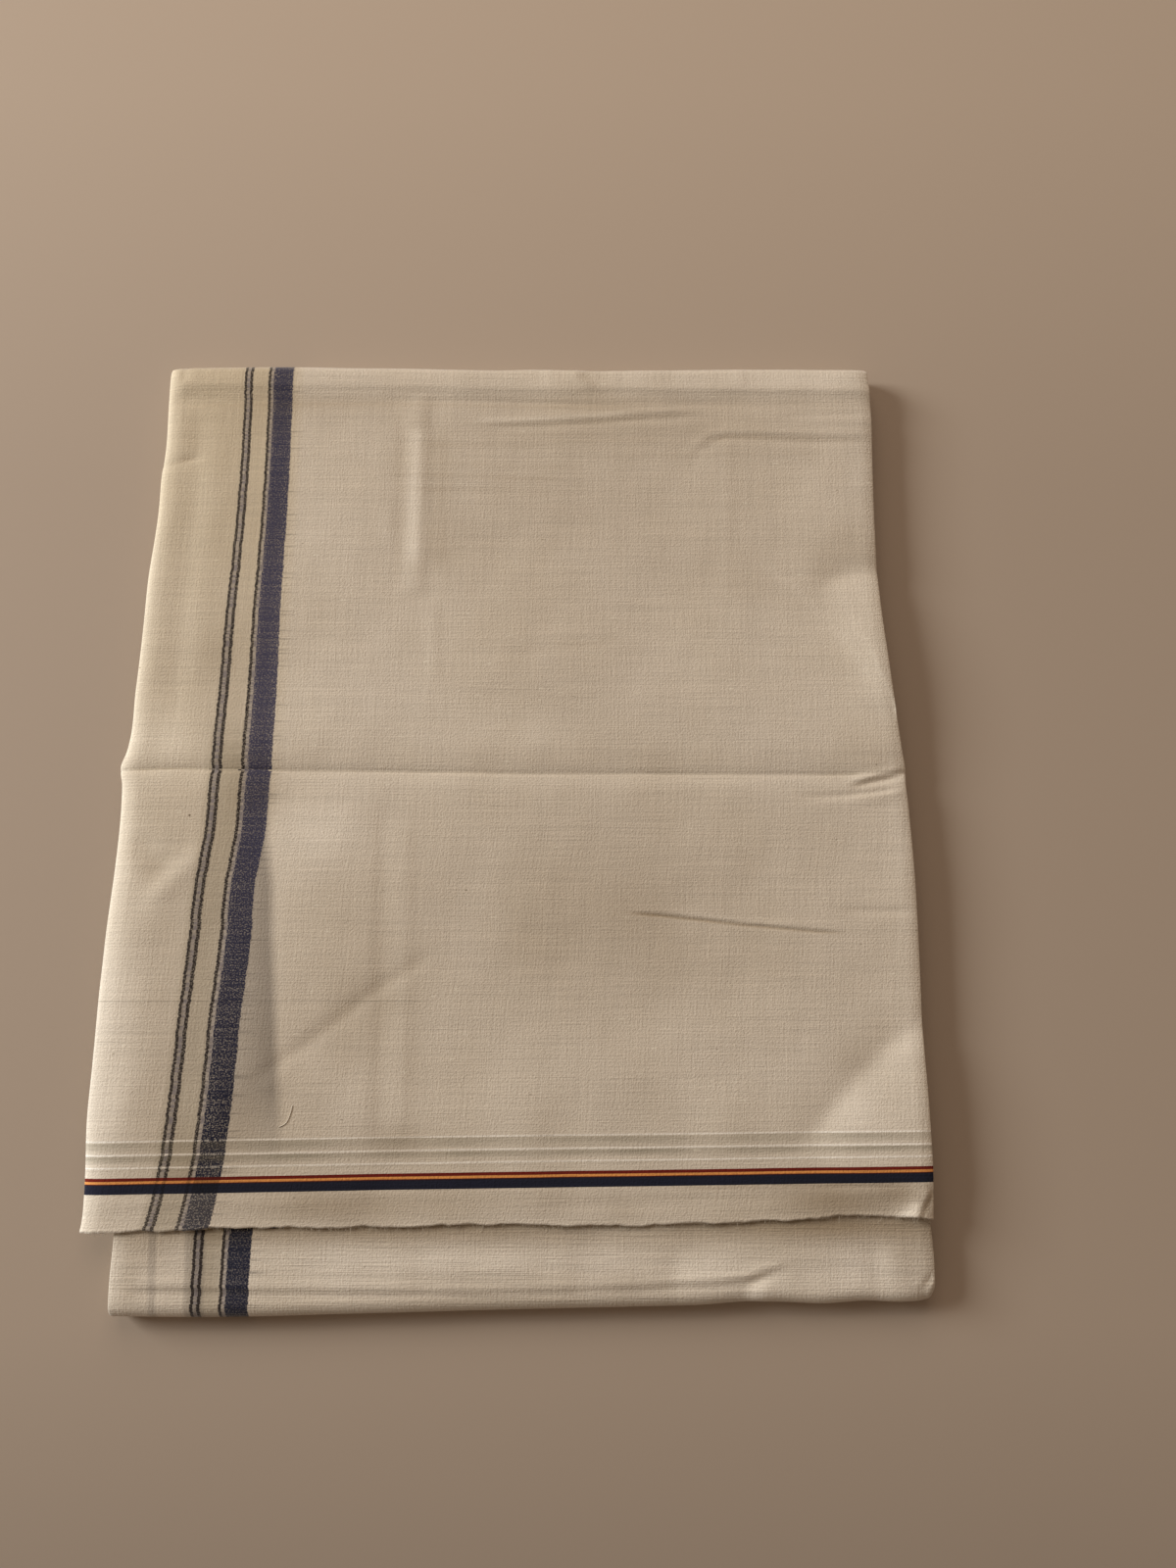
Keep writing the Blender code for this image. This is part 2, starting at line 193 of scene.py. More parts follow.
# Painted light and shade on the top leaf: painted highlights where its soft relief turns to the light,
# painted shade in its creases and hollows and along the hem above the cut end. A height here is a
# share of tone.
TOP_LEAF_PAINTED_SHADING = rows_of(
    Swell, (-84, -10, 24, 15, 0.3, -20), (-88, 42, 22, 20, 0.15), (-10, 36, 26, 12, 0.07),
    (125, 45, 24, 20, 0.12), (3, -120, 12, 18, 0.08), (50, -46, 62, 30, -0.24, 8),
    (34, 20, 36, 170, -0.13), (-64, -118, 10, 12, 0.14), (-45, -137, 24, 7, -0.18),
    (-124, -146, 14, 12, -0.34), (-98, -25, 9, 14, 0.2), (-132, -27, 8, 6, 0.2), (-100, 8, 7, 10, -0.16),
    (16, 29, 14, 8, 0.13), (68, 29, 14, 8, 0.12), (160, -84, 10, 14, 0.16), (-149, -41, 7, 8, 0.14),
    (104, -82, 16, 9, 0.12), (79, -120, 10, 13, 0.12), (-49, -82, 8, 8, -0.16), (-40, -137, 13, 7, -0.15),
    (46, -163, 7, 5, -0.2), (142, -110, 7, 9, -0.15), (135, 77, 10, 10, 0.14), (103, 92, 11, 11, -0.13),
    (-134, 62, 11, 11, -0.13), (-108, -127, 8, 12, -0.34), (-156, -122, 7, 20, 0.18),
    (-128, -119, 7, 8, 0.12), (-50, -163, 26, 6, -0.16), (-110, 6, 8, 12, -0.14),
    (-47, -137, 10, 8, -0.14), (-74, -165, 18, 5, -0.1), (-97, -108, 8, 26, -0.18),
    (-107, 6, 12, 12, -0.18), (86, 168, 32, 12, -0.16), (20, -55, 72, 40, -0.09),
    (20, 155, 90, 28, -0.06), (160, -108, 10, 22, 0.24), (-161, -50, 4.5, 90, 0.16),
    (-68, -88, 12, 20, -0.22), (-148, -27, 6, 7, -0.12), (-72, -163, 22, 7, -0.22),
    (-143, 24, 16, 10, 0.34), (-75, -14, 16, 9, 0.12), (-35, 112, 12, 18, -0.14),
    (102, 103, 20, 12, -0.13), (148, 122, 10, 10, -0.12), (-47, -62, 16, 48, -0.18),
    (-85, -112, 20, 36, -0.19), (-100, -143, 26, 10, -0.14), (-30, -147, 44, 7, -0.12),
    (92, -112, 30, 14, 0.12), (14, 138, 52, 40, -0.2), (75, 120, 30, 30, -0.08), (70, 176, 120, 12, -0.2),
    (-90, 180, 40, 12, -0.16), (125, 118, 30, 11, -0.1, -10), (153, 68, 15, 30, 0.26, -10),
    (141, -128, 22, 15, 0.34, -35), (130, -159, 28, 8.5, -0.84), (78, -160, 14, 7, -0.1),
    (0, -159, 60, 6, -0.2), (-70, -159, 44, 7, -0.34), (-149, -27, 6, 7, -0.24),
    (-131, -130, 30, 20, -0.08), (157, -165, 6, 3, 0.35, -35), (155, -155.5, 9, 4.5, -0.38),
    (-90, 197, 60, 5, -0.1), (138, 196.5, 30, 4, 0.22), (50, 198, 7, 6, 0.1), (10, 197, 5, 6, 0.14),
    (-22, 197, 5, 6, -0.12), (28, 196, 4, 6, -0.14), (66, 196, 6, 6, -0.12), (60, 184.5, 110, 4, -0.22),
    (-90, 184.5, 40, 4.5, -0.22), (-128, 72, 10, 16, -0.16), (0, 20, 400, 5, -0.1), (0, 9, 400, 4, 0.1),
    (-148, 30, 13, 14, 0.32), (-117, 6, 6, 12, -0.14), (-139, -95, 7, 60, -0.2),
    (-126, -62, 7, 44, -0.14), (-147, 110, 14, 80, 0.14), (-158, -20, 8, 20, 0.16),
    (-156, -78, 8, 62, 0.2), (165, -30, 6, 110, 0.22), (-52.5, -100, 2.4, 40, -0.1),
    (-44, -90, 2.6, 50, 0.07),
)

# Painted shade along the fine creases, and painted highlights where their lips turn to the light and
# on the lifted right corner of the cut end.
TOP_LEAF_PAINTED_CREASE_SHADING = rows_of(
    Fold,
    ([(46, -45.8), (68, -47.9), (97, -51.2), (125, -53.8), (141, -54.7)], 0.65, -0.7, 12),
    ([(0, 67.6), (20, 68.6), (36, 70.6), (52, 74.5)], 1.5, -0.13, 14),
    ([(60, -44.6), (97, -49.3), (125, -52)], 1.1, 0.15, 16),
    ([(-30, 174.2), (0, 174.4), (20, 174.9), (40, 176), (59, 177.8), (90, 179.6)], 0.9, -0.14, 24),
    ([(-24, 176.4), (0, 176.8), (20, 177.5), (38, 178.6), (54, 180.2)], 1, 0.3, 12),
    ([(-160, 183.8), (-101, 184.2), (-57, 184.6), (0, 183.6), (60, 182.4)], 1.1, -0.14, 24),
    ([(78, 157), (87, 166.5), (95, 168.4), (120, 167.4), (164, 166.2)], 1.2, -0.22, 22),
    ([(78, 154), (84, 164), (92, 170), (110, 170.4)], 1, 0.18, 10),
    ([(-162, 154.6), (-154, 155.2), (-143, 158.2)], 0.9, -0.3, 6),
    ([(141, 6.8), (148, 8.6), (156, 10.6), (166, 12.6)], 0.9, -0.35, 8),
    ([(143, 9.4), (149, 11.2), (156, 13.2)], 0.9, 0.22, 5),
    ([(-30, -62.5), (-54, -76.7), (-70, -89.7), (-94, -107.7)], 1.6, -0.14, 14),
    ([(-45.4, 176), (-45.2, 142), (-44.6, 104)], 2.9, 0.5, 10),
    ([(-57.5, 136), (-57, 114)], 2.6, 0.16, 8),
    ([(-52.5, 176), (-51.5, 142), (-51, 96)], 1.5, -0.12, 10),
    ([(-35.5, 176), (-34.5, 142), (-34, 98)], 5.5, -0.22, 14),
    ([(-62, 150), (-20, 149), (24, 147.4)], 1, -0.17, 14),
    ([(-58, 143.2), (-20, 142.4), (18, 141)], 1, -0.15, 14),
    ([(-40, 154.8), (0, 154), (34, 153.6)], 0.9, -0.12, 14),
    ([(-52, 164.6), (-10, 164), (20, 164.2)], 1, -0.12, 14),
    ([(-36, 170.2), (0, 169.6), (48, 169)], 0.9, -0.09, 14),
    ([(104, 110), (122, 97), (141, 75), (161, 45)], 1.1, 0.16, 14),
    ([(-50, 139), (0, 138), (40, 136.8)], 0.8, 0.06, 14),
    ([(30, 158), (90, 159.4), (150, 160.4)], 1.1, -0.08, 20),
    ([(-30, 166), (30, 166.4), (70, 167.4)], 1, -0.08, 20),
    ([(147, -171), (156, -165.5), (162.5, -158.5)], 2.3, 0.78, 4),
    ([(176, 105), (157.7, 104.3), (150.5, 103.6), (140.3, 100.3), (128, 94.5)], 8, 0.2, 16, "lip"),
    (LOW_CREASE, 8, 0.2, 16, "lip"),
    ([(161.6, -169), (164.2, -162), (168, -155)], 1.2, -0.6, 3),
    ([(60, -154.6), (110, -153.6), (164, -152.6)], 0.8, -0.25, 16),
)
Droop = namedtuple("Droop", "fall width")
LEFT_DROOP = Droop(1.8, 8.5)
RIGHT_DROOP = Droop(0.9, 6.0)


def fold_heights(folds, x, y):
    """How far the folds raise or lower each point."""
    total = np.zeros_like(x)
    for fold in folds:
        points = np.array(fold.run, float)
        legs = np.diff(points, axis=0)
        lengths = np.hypot(legs[:, 0], legs[:, 1])
        starts = np.concatenate([[0.0], np.cumsum(lengths)])
        nearest = np.full_like(x, np.inf)
        side = np.zeros_like(x)
        along = np.zeros_like(x)
        for (x0, y0), (dx, dy), length, start in zip(points, legs, lengths, starts):
            t = np.clip(((x - x0) * dx + (y - y0) * dy) / length**2, 0, 1)
            away = np.hypot(x - x0 - t * dx, y - y0 - t * dy)
            closer = away < nearest
            nearest = np.where(closer, away, nearest)
            side = np.where(closer, np.sign(dx * (y - y0) - dy * (x - x0)), side)
            along = np.where(closer, start + t * length, along)
        share = nearest / fold.width
        shape = {
            "sharp": np.exp(-share),
            "soft": np.exp(-share**2),
            "lip": side * share * np.exp(0.5 - share**2 / 2),
            "facet": np.where(side > 0, 1 - np.exp(-share), 0.0),
        }[fold.shape]
        if fold.taper:
            shape = shape * smooth(ramp(np.minimum(along, starts[-1] - along), 0, fold.taper))
        total += fold.height * shape
    return total


def swell_heights(swells, x, y):
    """How far the swells and hollows raise or lower each point."""
    total = np.zeros_like(x)
    for swell in swells:
        turn = math.radians(swell.turn)
        dx, dy = x - swell.x, y - swell.y
        across = (dx * math.cos(turn) + dy * math.sin(turn)) / swell.reach_x
        up = (dy * math.cos(turn) - dx * math.sin(turn)) / swell.reach_y
        total += swell.height * np.exp(-(across**2) - up**2)
    return total


def rumple(x, y, seed, count=26, wavelengths=(14.0, 64.0), height=0.035):
    """The faint unevenness of hand-folded cotton: many low waves in all directions."""
    chance = np.random.default_rng(seed)
    total = np.zeros_like(x)
    for _ in range(count):
        wavelength = chance.uniform(*wavelengths)
        heading, phase = chance.uniform(0, math.tau, 2)
        across = x * math.cos(heading) + y * math.sin(heading)
        rise = height * wavelength / wavelengths[1]
        total += rise * np.sin(math.tau * across / wavelength + phase)
    return total


def droop(x, y):
    """The outer edges of the top leaf, and all that lies under them, hang down a little."""
    from_left = x - read(TOP_LEAF_SIDES, y, "left")
    from_right = read(TOP_LEAF_SIDES, y, "right") - x
    total = np.zeros_like(x)
    for edge, inside in ((LEFT_DROOP, from_left), (RIGHT_DROOP, from_right)):
        total -= edge.fall * (1 - ramp(inside, 0, edge.width)) ** 2
    return total


# Where the swells, the facets and the cut end's sag come in, from the first Y to the second.
SWELLS_COME_IN = (-172, -164)
FACETS_COME_IN = (-168, -144)
SAG_COMES_IN = (-154, -168)
TOP_LEAF_RUMPLE = 0.055
CUT_END_SAG = 0.3
CURL = Across(163.0, -166.0)
CURL_RISE = 1.5
CURL_REACH = 15.0
CURL_NARROWNESS = 1.2


def curl(x, y):
    """The right corner of the cut end has lifted off the leaf below."""
    away = np.hypot((x - CURL.x) * CURL_NARROWNESS, y - CURL.y)
    return CURL_RISE * np.maximum(0.0, 1.0 - away / CURL_REACH) ** 2


def top_leaf_relief(x, y):
    """All that raises or lowers the top leaf's surface."""
    swells = swell_heights(TOP_LEAF_SWELLS, x, y) + rumple(x, y, 4, height=TOP_LEAF_RUMPLE)
    swells = swells * ramp(y, *SWELLS_COME_IN)
    facets = fold_heights(TOP_LEAF_FACETS, x, y) * smooth(ramp(y, *FACETS_COME_IN))
    sag = CUT_END_SAG * ramp(y, *SAG_COMES_IN) ** 2
    folds = fold_heights(TOP_LEAF_FOLDS, x, y) + facets
    return folds + swells + droop(x, y) + curl(x, y) - sag


def cut_wander(x):
    """How far the cut strays from its line, where the cloth was snipped and torn by hand."""
    return 0.34 * np.sin(x / 12.1 + 2.0) + 0.26 * np.sin(x / 4.9) + 0.17 * np.sin(x / 2.3 + 1.0)


def top_leaf_y(x, row):
    """The Y of a row: 0 is the cut end, 0.5 the middle crease and 1 the start of the far roll."""
    cut = read(CUT_END, x, "y") + cut_wander(x)
    crease = read(MID_CREASE, x, "y")
    near_half = cut + 2 * row * (crease - cut)
    far_half = crease + (2 * row - 1) * (FAR_ROLL_Y - crease)
    return np.where(row < 0.5, near_half, far_half)


ROLL_SQUARENESS = 0.74
# How far the far roll bulges beyond its round, as its plies lie tighter or looser.
FAR_ROLL_BULGE = rows_of(
    Across, (-160, 0.9), (-130, 1.3), (-105, 1.5), (-78, 0.9), (-45, 0.6), (-30, 0.1), (-10, -0.2),
    (8, 0.3), (30, -0.5), (60, -0.3), (90, 0.1), (125, 0.1), (160, -0.2),
)


def top_leaf_place(x, row, depth):
    """The place of points at a depth under the surface. Rows from 1 to 2 go round the far edge."""
    y = top_leaf_y(x, np.minimum(row, 1.0))
    angle = math.pi * np.clip(row - 1.0, 0, 1)
    upright = (1 + np.cos(angle)) / 2
    radius = FAR_ROLL_RADIUS - depth
    rise = np.sign(np.cos(angle)) * np.abs(np.cos(angle)) ** ROLL_SQUARENESS
    reach = np.sin(angle) ** ROLL_SQUARENESS
    z = FAR_ROLL_RADIUS + radius * rise + upright * top_leaf_relief(x, y)
    return np.stack([x, y + (radius + read(FAR_ROLL_BULGE, x, "y")) * reach, z], axis=-1)


Span = namedtuple("Span", "until step")
TOP_LEAF_ROW_SPANS = rows_of(
    Span, (12, 0.8), (34, 1.6), (109, 2.7), (129, 0.5), (172, 2.7), (182.3, 0.7), (194, 0.7), (312, 2.7),
    (350, 1.3), (366, 0.8),
)
ROLL_STEPS = 12
FLAT_COLUMN_SPANS = rows_of(Span, (8, 1), (324, 2.5), (332, 1))


def spaced(spans):
    """Stations from 0 to 1, as close together as each span asks."""
    stations = [0.0]
    for span in spans:
        start = stations[-1]
        count = max(1, round((span.until - start) / span.step))
        stations += [start + (span.until - start) * i / count for i in range(1, count + 1)]
    return np.array(stations) / spans[-1].until


# A column of a leaf: its share of the width between the two folds, how far round a fold it lies,
# its depth under the surface, and how far the cloth has run from the fold's start.
Column = namedtuple("Column", "share inset depth run")


def fold_columns(side, radius, return_insets, steps=6):
    """Columns round one edge: from the fold's top, round it and back under the leaf."""
    columns = []
    for i in range(1, steps + 1):
        angle = math.pi * i / steps
        inset = radius * (1 - math.sin(angle))
        columns.append(Column(side, inset, radius * (1 - math.cos(angle)), radius * angle))
    for inset in return_insets:
        columns.append(Column(side, radius + inset, 2 * radius, radius * math.pi + inset))
    return columns


def leaf_columns(left_radius, right_radius, returns=(1.5, 5.0, 12.0)):
    """All columns of a leaf, from the end of its left turn to the end of its right one."""
    left = fold_columns(0, left_radius, returns)[::-1]
    right = fold_columns(1, right_radius, returns)
    flat = [Column(share, None, 0.0, 0.0) for share in spaced(FLAT_COLUMN_SPANS)]
    return left + flat + right


def column_xs(columns, left, right, left_radius, right_radius):
    """The X of each column on each row, from the X of the row's two edges."""
    xs = []
    for column in columns:
        if column.inset is None:
            start, end = left + left_radius, right - right_radius
            xs.append(start + column.share * (end - start))
        elif column.share == 0:
            xs.append(left + column.inset)
        else:
            xs.append(right - column.inset)
    return np.stack(xs, axis=-1)


# Where the woven border runs on the top leaf: the left edge of its thin pair of lines and the
# right edge of its wide stripe. Its layout across is in DYED_LINES and PALE_LINES.
Border = namedtuple("Border", "y thin wide")
TOP_LEAF_BORDER = rows_of(
    Border, (-171, -142.6, -116.8), (-160, -139.8, -114.3), (-148, -137.9, -112.4), (-124, -136, -110.4),
    (-89, -134.1, -108.8), (-58, -132.3, -106.5), (-33, -130.9, -106), (-17, -129, -103.6),
    (15, -127.9, -102.2), (51, -126.6, -101.8), (96, -125.3, -102.1), (132, -123.8, -101.6),
    (166, -123.7, -101.8), (201, -124.3, -102.3),
)
BORDER_WIDTH = 25.2
END_BAND_TOP = rows_of(
    Across, (-168, -150.9), (-103, -149.8), (-14, -148.3), (71, -147.2), (168, -145.7)
)
STRAIGHT_WEFT_Y = -82.0


def border_run(table, x, y):
    """How far across the woven border a point lies, in millimetres of cloth."""
    thin, wide = read(table, y, "thin"), read(table, y, "wide")
    inside = (x - thin) / (wide - thin) * BORDER_WIDTH
    return np.where(x < thin, x - thin, np.where(x > wide, BORDER_WIDTH + x - wide, inside))


def weft_run(x, y):
    """How far along the cloth a point lies from the end band. Far from it the weft is straight."""
    band = read(END_BAND_TOP, x, "y")
    middle = END_BAND_TOP[2].y
    slant = 1 - smooth(ramp(y, middle, STRAIGHT_WEFT_Y))
    return y - (middle + slant * (band - middle))


def points_of(mesh):
    """Each point's place, and the number of the point at each corner of a face."""
    points = np.empty(len(mesh.vertices) * 3)
    mesh.vertices.foreach_get("co", points)
    corners = np.empty(len(mesh.loops), int)
    mesh.loops.foreach_get("vertex_index", corners)
    return points.reshape(-1, 3), corners


def lay_sheet(name, places, across, along, tone=None, ghost=None):
    """A grid whose points are laid by row and column, with the cloth's own measure as its UV."""
    size = np.array(places.shape[1::-1]) - 1
    bpy.ops.object.select_all(action="DESELECT")
    bpy.ops.mesh.primitive_grid_add(x_subdivisions=size[0], y_subdivisions=size[1], size=1.0)
    sheet = bpy.context.object
    sheet.name = name
    mesh = sheet.data
    points, corners = points_of(mesh)
    column, row = np.rint((points[:, :2] + 0.5) * size).astype(int).T
    mesh.vertices.foreach_set("co", (places[row, column] * MM).ravel())
    for layer_name, run in (("cloth", across), ("ply_below", ghost)):
        if run is None:
            continue
        layer = mesh.uv_layers.get(layer_name) or mesh.uv_layers.new(name=layer_name)
        measure = np.stack([run[row, column], along[row, column]], axis=-1) * MM
        layer.data.foreach_set("uv", measure[corners].ravel())
    if mesh.uv_layers[0].name == "UVMap":
        mesh.uv_layers.remove(mesh.uv_layers[0])
    # Each point's tone is its painted light and shade.
    if tone is not None:
        shade = mesh.attributes.new("tone", "FLOAT", "POINT")
        shade.data.foreach_set("value", tone[row, column].ravel())
    mesh.update()
    return sheet


def select(piece):
    """Makes a piece the one that the next operator works on."""
    bpy.ops.object.select_all(action="DESELECT")
    piece.select_set(True)
    bpy.context.view_layer.objects.active = piece


def turned_in(columns):
    """How far each column has run past the edge that it turns in at, less than 0 at the left."""
    side = np.where(np.arange(len(columns)) < len(columns) / 2, -1, 1)
    return side * np.array([column.run for column in columns])


def thicken(sheet, thickness):
    """Gives a sheet the thickness of the cloth, to the inside of the surface that shows."""
    select(sheet)
    wall = sheet.modifiers.new("cloth", "SOLIDIFY")
    wall.thickness = thickness * MM
    wall.offset = -1.0
    wall.use_rim = True
    bpy.ops.object.modifier_apply(modifier=wall.name)
    bpy.ops.object.shade_smooth()


roll_rows = 1 + np.arange(1, ROLL_STEPS + 1) / ROLL_STEPS
top_rows = np.concatenate([spaced(TOP_LEAF_ROW_SPANS), roll_rows])[:, None]
top_columns = leaf_columns(LEFT_FOLD_RADIUS, RIGHT_FOLD_RADIUS)
middle_y = top_leaf_y(0.0, np.minimum(top_rows[:, 0], 1.0))
left_edge = read(TOP_LEAF_SIDES, middle_y, "left")
right_edge = read(TOP_LEAF_SIDES, middle_y, "right")
x_grid = column_xs(top_columns, left_edge, right_edge, LEFT_FOLD_RADIUS, RIGHT_FOLD_RADIUS)
top_depth = np.array([column.depth for column in top_columns])
top_places = top_leaf_place(x_grid, top_rows, top_depth)

# The cut end is a little jagged, where the weft was torn and cut by hand.
CUT_JAG = 0.21
CUT_JAG_REACH = 2.0
MOST_JAG = 1.6
chance = np.random.default_rng(7)
jag = CUT_JAG * np.clip(chance.normal(size=len(top_columns)), -MOST_JAG, MOST_JAG)
cut_share = 1 - ramp(top_places[..., 1] - top_places[:1, :, 1], 0, CUT_JAG_REACH)
top_places[..., 1] += cut_share * jag

cloth_x = np.clip(x_grid, left_edge[:, None], right_edge[:, None])
flat_y = top_leaf_y(cloth_x, np.minimum(top_rows, 1.0))
rolled = math.pi * FAR_ROLL_RADIUS * ramp(top_rows, 1, 2)
across = border_run(TOP_LEAF_BORDER, cloth_x, flat_y) + turned_in(top_columns)
along = weft_run(cloth_x, flat_y) + rolled

# The border of the ply below shows through faintly, along this line at the right of the stripes.
TOP_LEAF_GHOST = rows_of(
    Border, (-171, -112.5, -87), (-124, -116.5, -91.1), (-97, -119, -93.8), (-74, -121.1, -95.9),
    (-54, -123, -97.8), (-33, -124.5, -99.3), (-18, -127, -101.6), (15, -128.9, -103.4),
    (200, -127.6, -103),
)
ghost = border_run(TOP_LEAF_GHOST, cloth_x, flat_y) + turned_in(top_columns)

# The left fold carries a painted highlight where it turns to the light, broader towards the cut end
# and brightest at its rim. The edge of the cut carries one too, here more and there less.
LEFT_FOLD_HIGHLIGHT = 0.58
LEFT_FOLD_REACH, LEFT_FOLD_GROWTH = 3.8, 5.4
LEFT_FOLD_WIDENS = (40, -80)
LEFT_RIM_HIGHLIGHT, LEFT_RIM_REACH = 0.6, 2.1
CUT_RIM_HIGHLIGHT, CUT_RIM_CHANGE, CUT_RIM_WAVE, CUT_RIM_REACH = 0.16, 0.10, 7.3, 1.7

laid_y = flat_y + rolled
from_left_fold = cloth_x - read(TOP_LEAF_SIDES, flat_y, "left")
from_cut = flat_y - read(CUT_END, cloth_x, "y") - cut_wander(cloth_x)
painted_light_reach = LEFT_FOLD_REACH + LEFT_FOLD_GROWTH * ramp(flat_y, *LEFT_FOLD_WIDENS)
# The top leaf's painted light and shade, carried by each point as its tone.
tone = swell_heights(TOP_LEAF_PAINTED_SHADING, cloth_x, laid_y)
tone += fold_heights(TOP_LEAF_PAINTED_CREASE_SHADING, cloth_x, laid_y)
tone += LEFT_FOLD_HIGHLIGHT * bell(from_left_fold, painted_light_reach)
tone += LEFT_RIM_HIGHLIGHT * bell(from_left_fold, LEFT_RIM_REACH)
cut_rim_highlight = CUT_RIM_HIGHLIGHT + CUT_RIM_CHANGE * np.sin(cloth_x / CUT_RIM_WAVE)
tone += cut_rim_highlight * bell(from_cut, CUT_RIM_REACH)
top_leaf_cloth = lay_sheet("top_leaf_cloth", top_places, across, along, tone, ghost)
thicken(top_leaf_cloth, PLY)


def linear(hex_colour):
    """An sRGB hex colour as the linear values that a shader reads."""
    values = [int(hex_colour[i : i + 2], 16) / 255 for i in (0, 2, 4)]
    return [v / 12.92 if v <= 0.04045 else ((v + 0.055) / 1.055) ** 2.4 for v in values] + [1.0]


def feed(node, inputs):
    """Sets or links a node's inputs. A text is an sRGB hex colour."""
    for socket, value in inputs.items():
        if isinstance(value, bpy.types.NodeSocket):
            node.id_data.links.new(value, node.inputs[socket])
        else:
            value = linear(value) if isinstance(value, str) else value
            node.inputs[socket].default_value = value


def add(tree, kind, *values, out=0, stops=(), **settings):
    """Adds a node, such as "Math ADD", with its settings. It sets or links the inputs, in their
    order or from one dictionary, and gives back one of the outputs."""
    kind, _, operation = kind.partition(" ")
    node = tree.nodes.new("ShaderNode" + kind)
    if operation:
        node.operation = operation
    for name, value in settings.items():
        setattr(node, name, value)
    in_order = not values or not isinstance(values[0], dict)
    feed(node, dict(enumerate(values)) if in_order else values[0])
    for index, (place, colour) in enumerate(stops):
        elements = node.color_ramp.elements
        stop = elements[index] if index < 2 else elements.new(place)
        stop.position = place
        stop.color = linear(colour) if isinstance(colour, str) else (colour, colour, colour, 1.0)
    return node.outputs[out]


def new_material(name):
    """A material, with its node tree and its shader."""
    material = bpy.data.materials.new(name)
    material.use_nodes = True
    return material, material.node_tree, material.node_tree.nodes["Principled BSDF"]


# The lines of the woven border, in millimetres across it.
Line = namedtuple("Line", "start end")
DYED_LINES = (Line(0.0, 1.35), Line(2.85, 4.4), Line(12.4, 13.85), Line(15.15, 25.2))
PALE_LINES = (Line(1.35, 2.85), Line(13.85, 15.15))
BORDER_FROM, BORDER_TO = -4.0, 30.0
LINE_SOFTNESS = 0.12
# The end band along the cloth: maroon, orange, a dark red line, then navy.
END_BAND = (
    (0.0, "000000"), (-0.05, "741f14"), (-1.25, "741f14"), (-1.4, "f0ab62"), (-2.2, "eb9d55"),
    (-2.35, "5a231d"), (-2.65, "321e28"), (-2.85, "1f2335"), (-6.15, "1f2335"), (-6.3, "000000"),
)
BAND_FROM = -8.0
# The white wefts above the end band: where each lies, how wide it is, and how far and how dark the
# painted shadow under it reaches.
WhiteWeft = namedtuple("WhiteWeft", "along width dull_width dull")
WHITE_WEFTS = rows_of(
    WhiteWeft, (3.7, 0.75, 1.2, 0.1), (8.5, 0.8, 3.2, 0.46), (13.6, 0.7, 4.6, 0.36)
)
# A wrong weft: where it lies, its half width and how far it fades. Then a husk's place and size.
FAULT_ALONG, FAULT_ACROSS, FAULT_HALF_WIDTH, FAULT_FADE = 66.3, 104.0, 0.17, 8
FLECK_ACROSS, FLECK_ALONG, FLECK_INSIDE, FLECK_OUTSIDE = -6.9, 143.1, 0.35, 0.6

# Yarns lie about 0.4 mm apart. They are drawn near 0.9 mm apart, so that they show. Each noise is
# stretched across and along the cloth, in changes per millimetre.
WARP_STRETCH, WEFT_STRETCH, FUZZ_STRETCH = (1.25, 0.05), (0.03, 1.45), (1.1, 1.1)
WARP_SHARE, WEFT_SHARE = 0.45, 0.7
WEAVE_SPREAD = 0.28
PICK_SPACING = 0.55
YARN_HEIGHT = 0.22
# Thick and thin yarns make long faint bars: each one's stretch, and its darkest and lightest.
YARN_BARS = (
    ((0.007, 1.05), 0.98, 1.018), ((0.85, 0.005), 0.975, 1.022), ((0.012, 0.36), 0.975, 1.02)
)


def line_stops(lines, softness=LINE_SOFTNESS):
    """Ramp stops that are 1 on the border's lines and 0 between them."""
    stops = []
    for line in lines:
        edges = (line.start, line.start, line.end, line.end)
        for edge, side, value in zip(edges, (-1, 1, -1, 1), (0, 1, 1, 0)):
            place = (edge + side * softness - BORDER_FROM) / (BORDER_TO - BORDER_FROM)
            stops.append((place, value))
    return stops


def cloth_measure(tree, layer):
    """Where each point lies on the cloth, in millimetres across and along."""
    return add(tree, "VectorMath MULTIPLY", add(tree, "UVMap", uv_map=layer), (1000, 1000, 0))


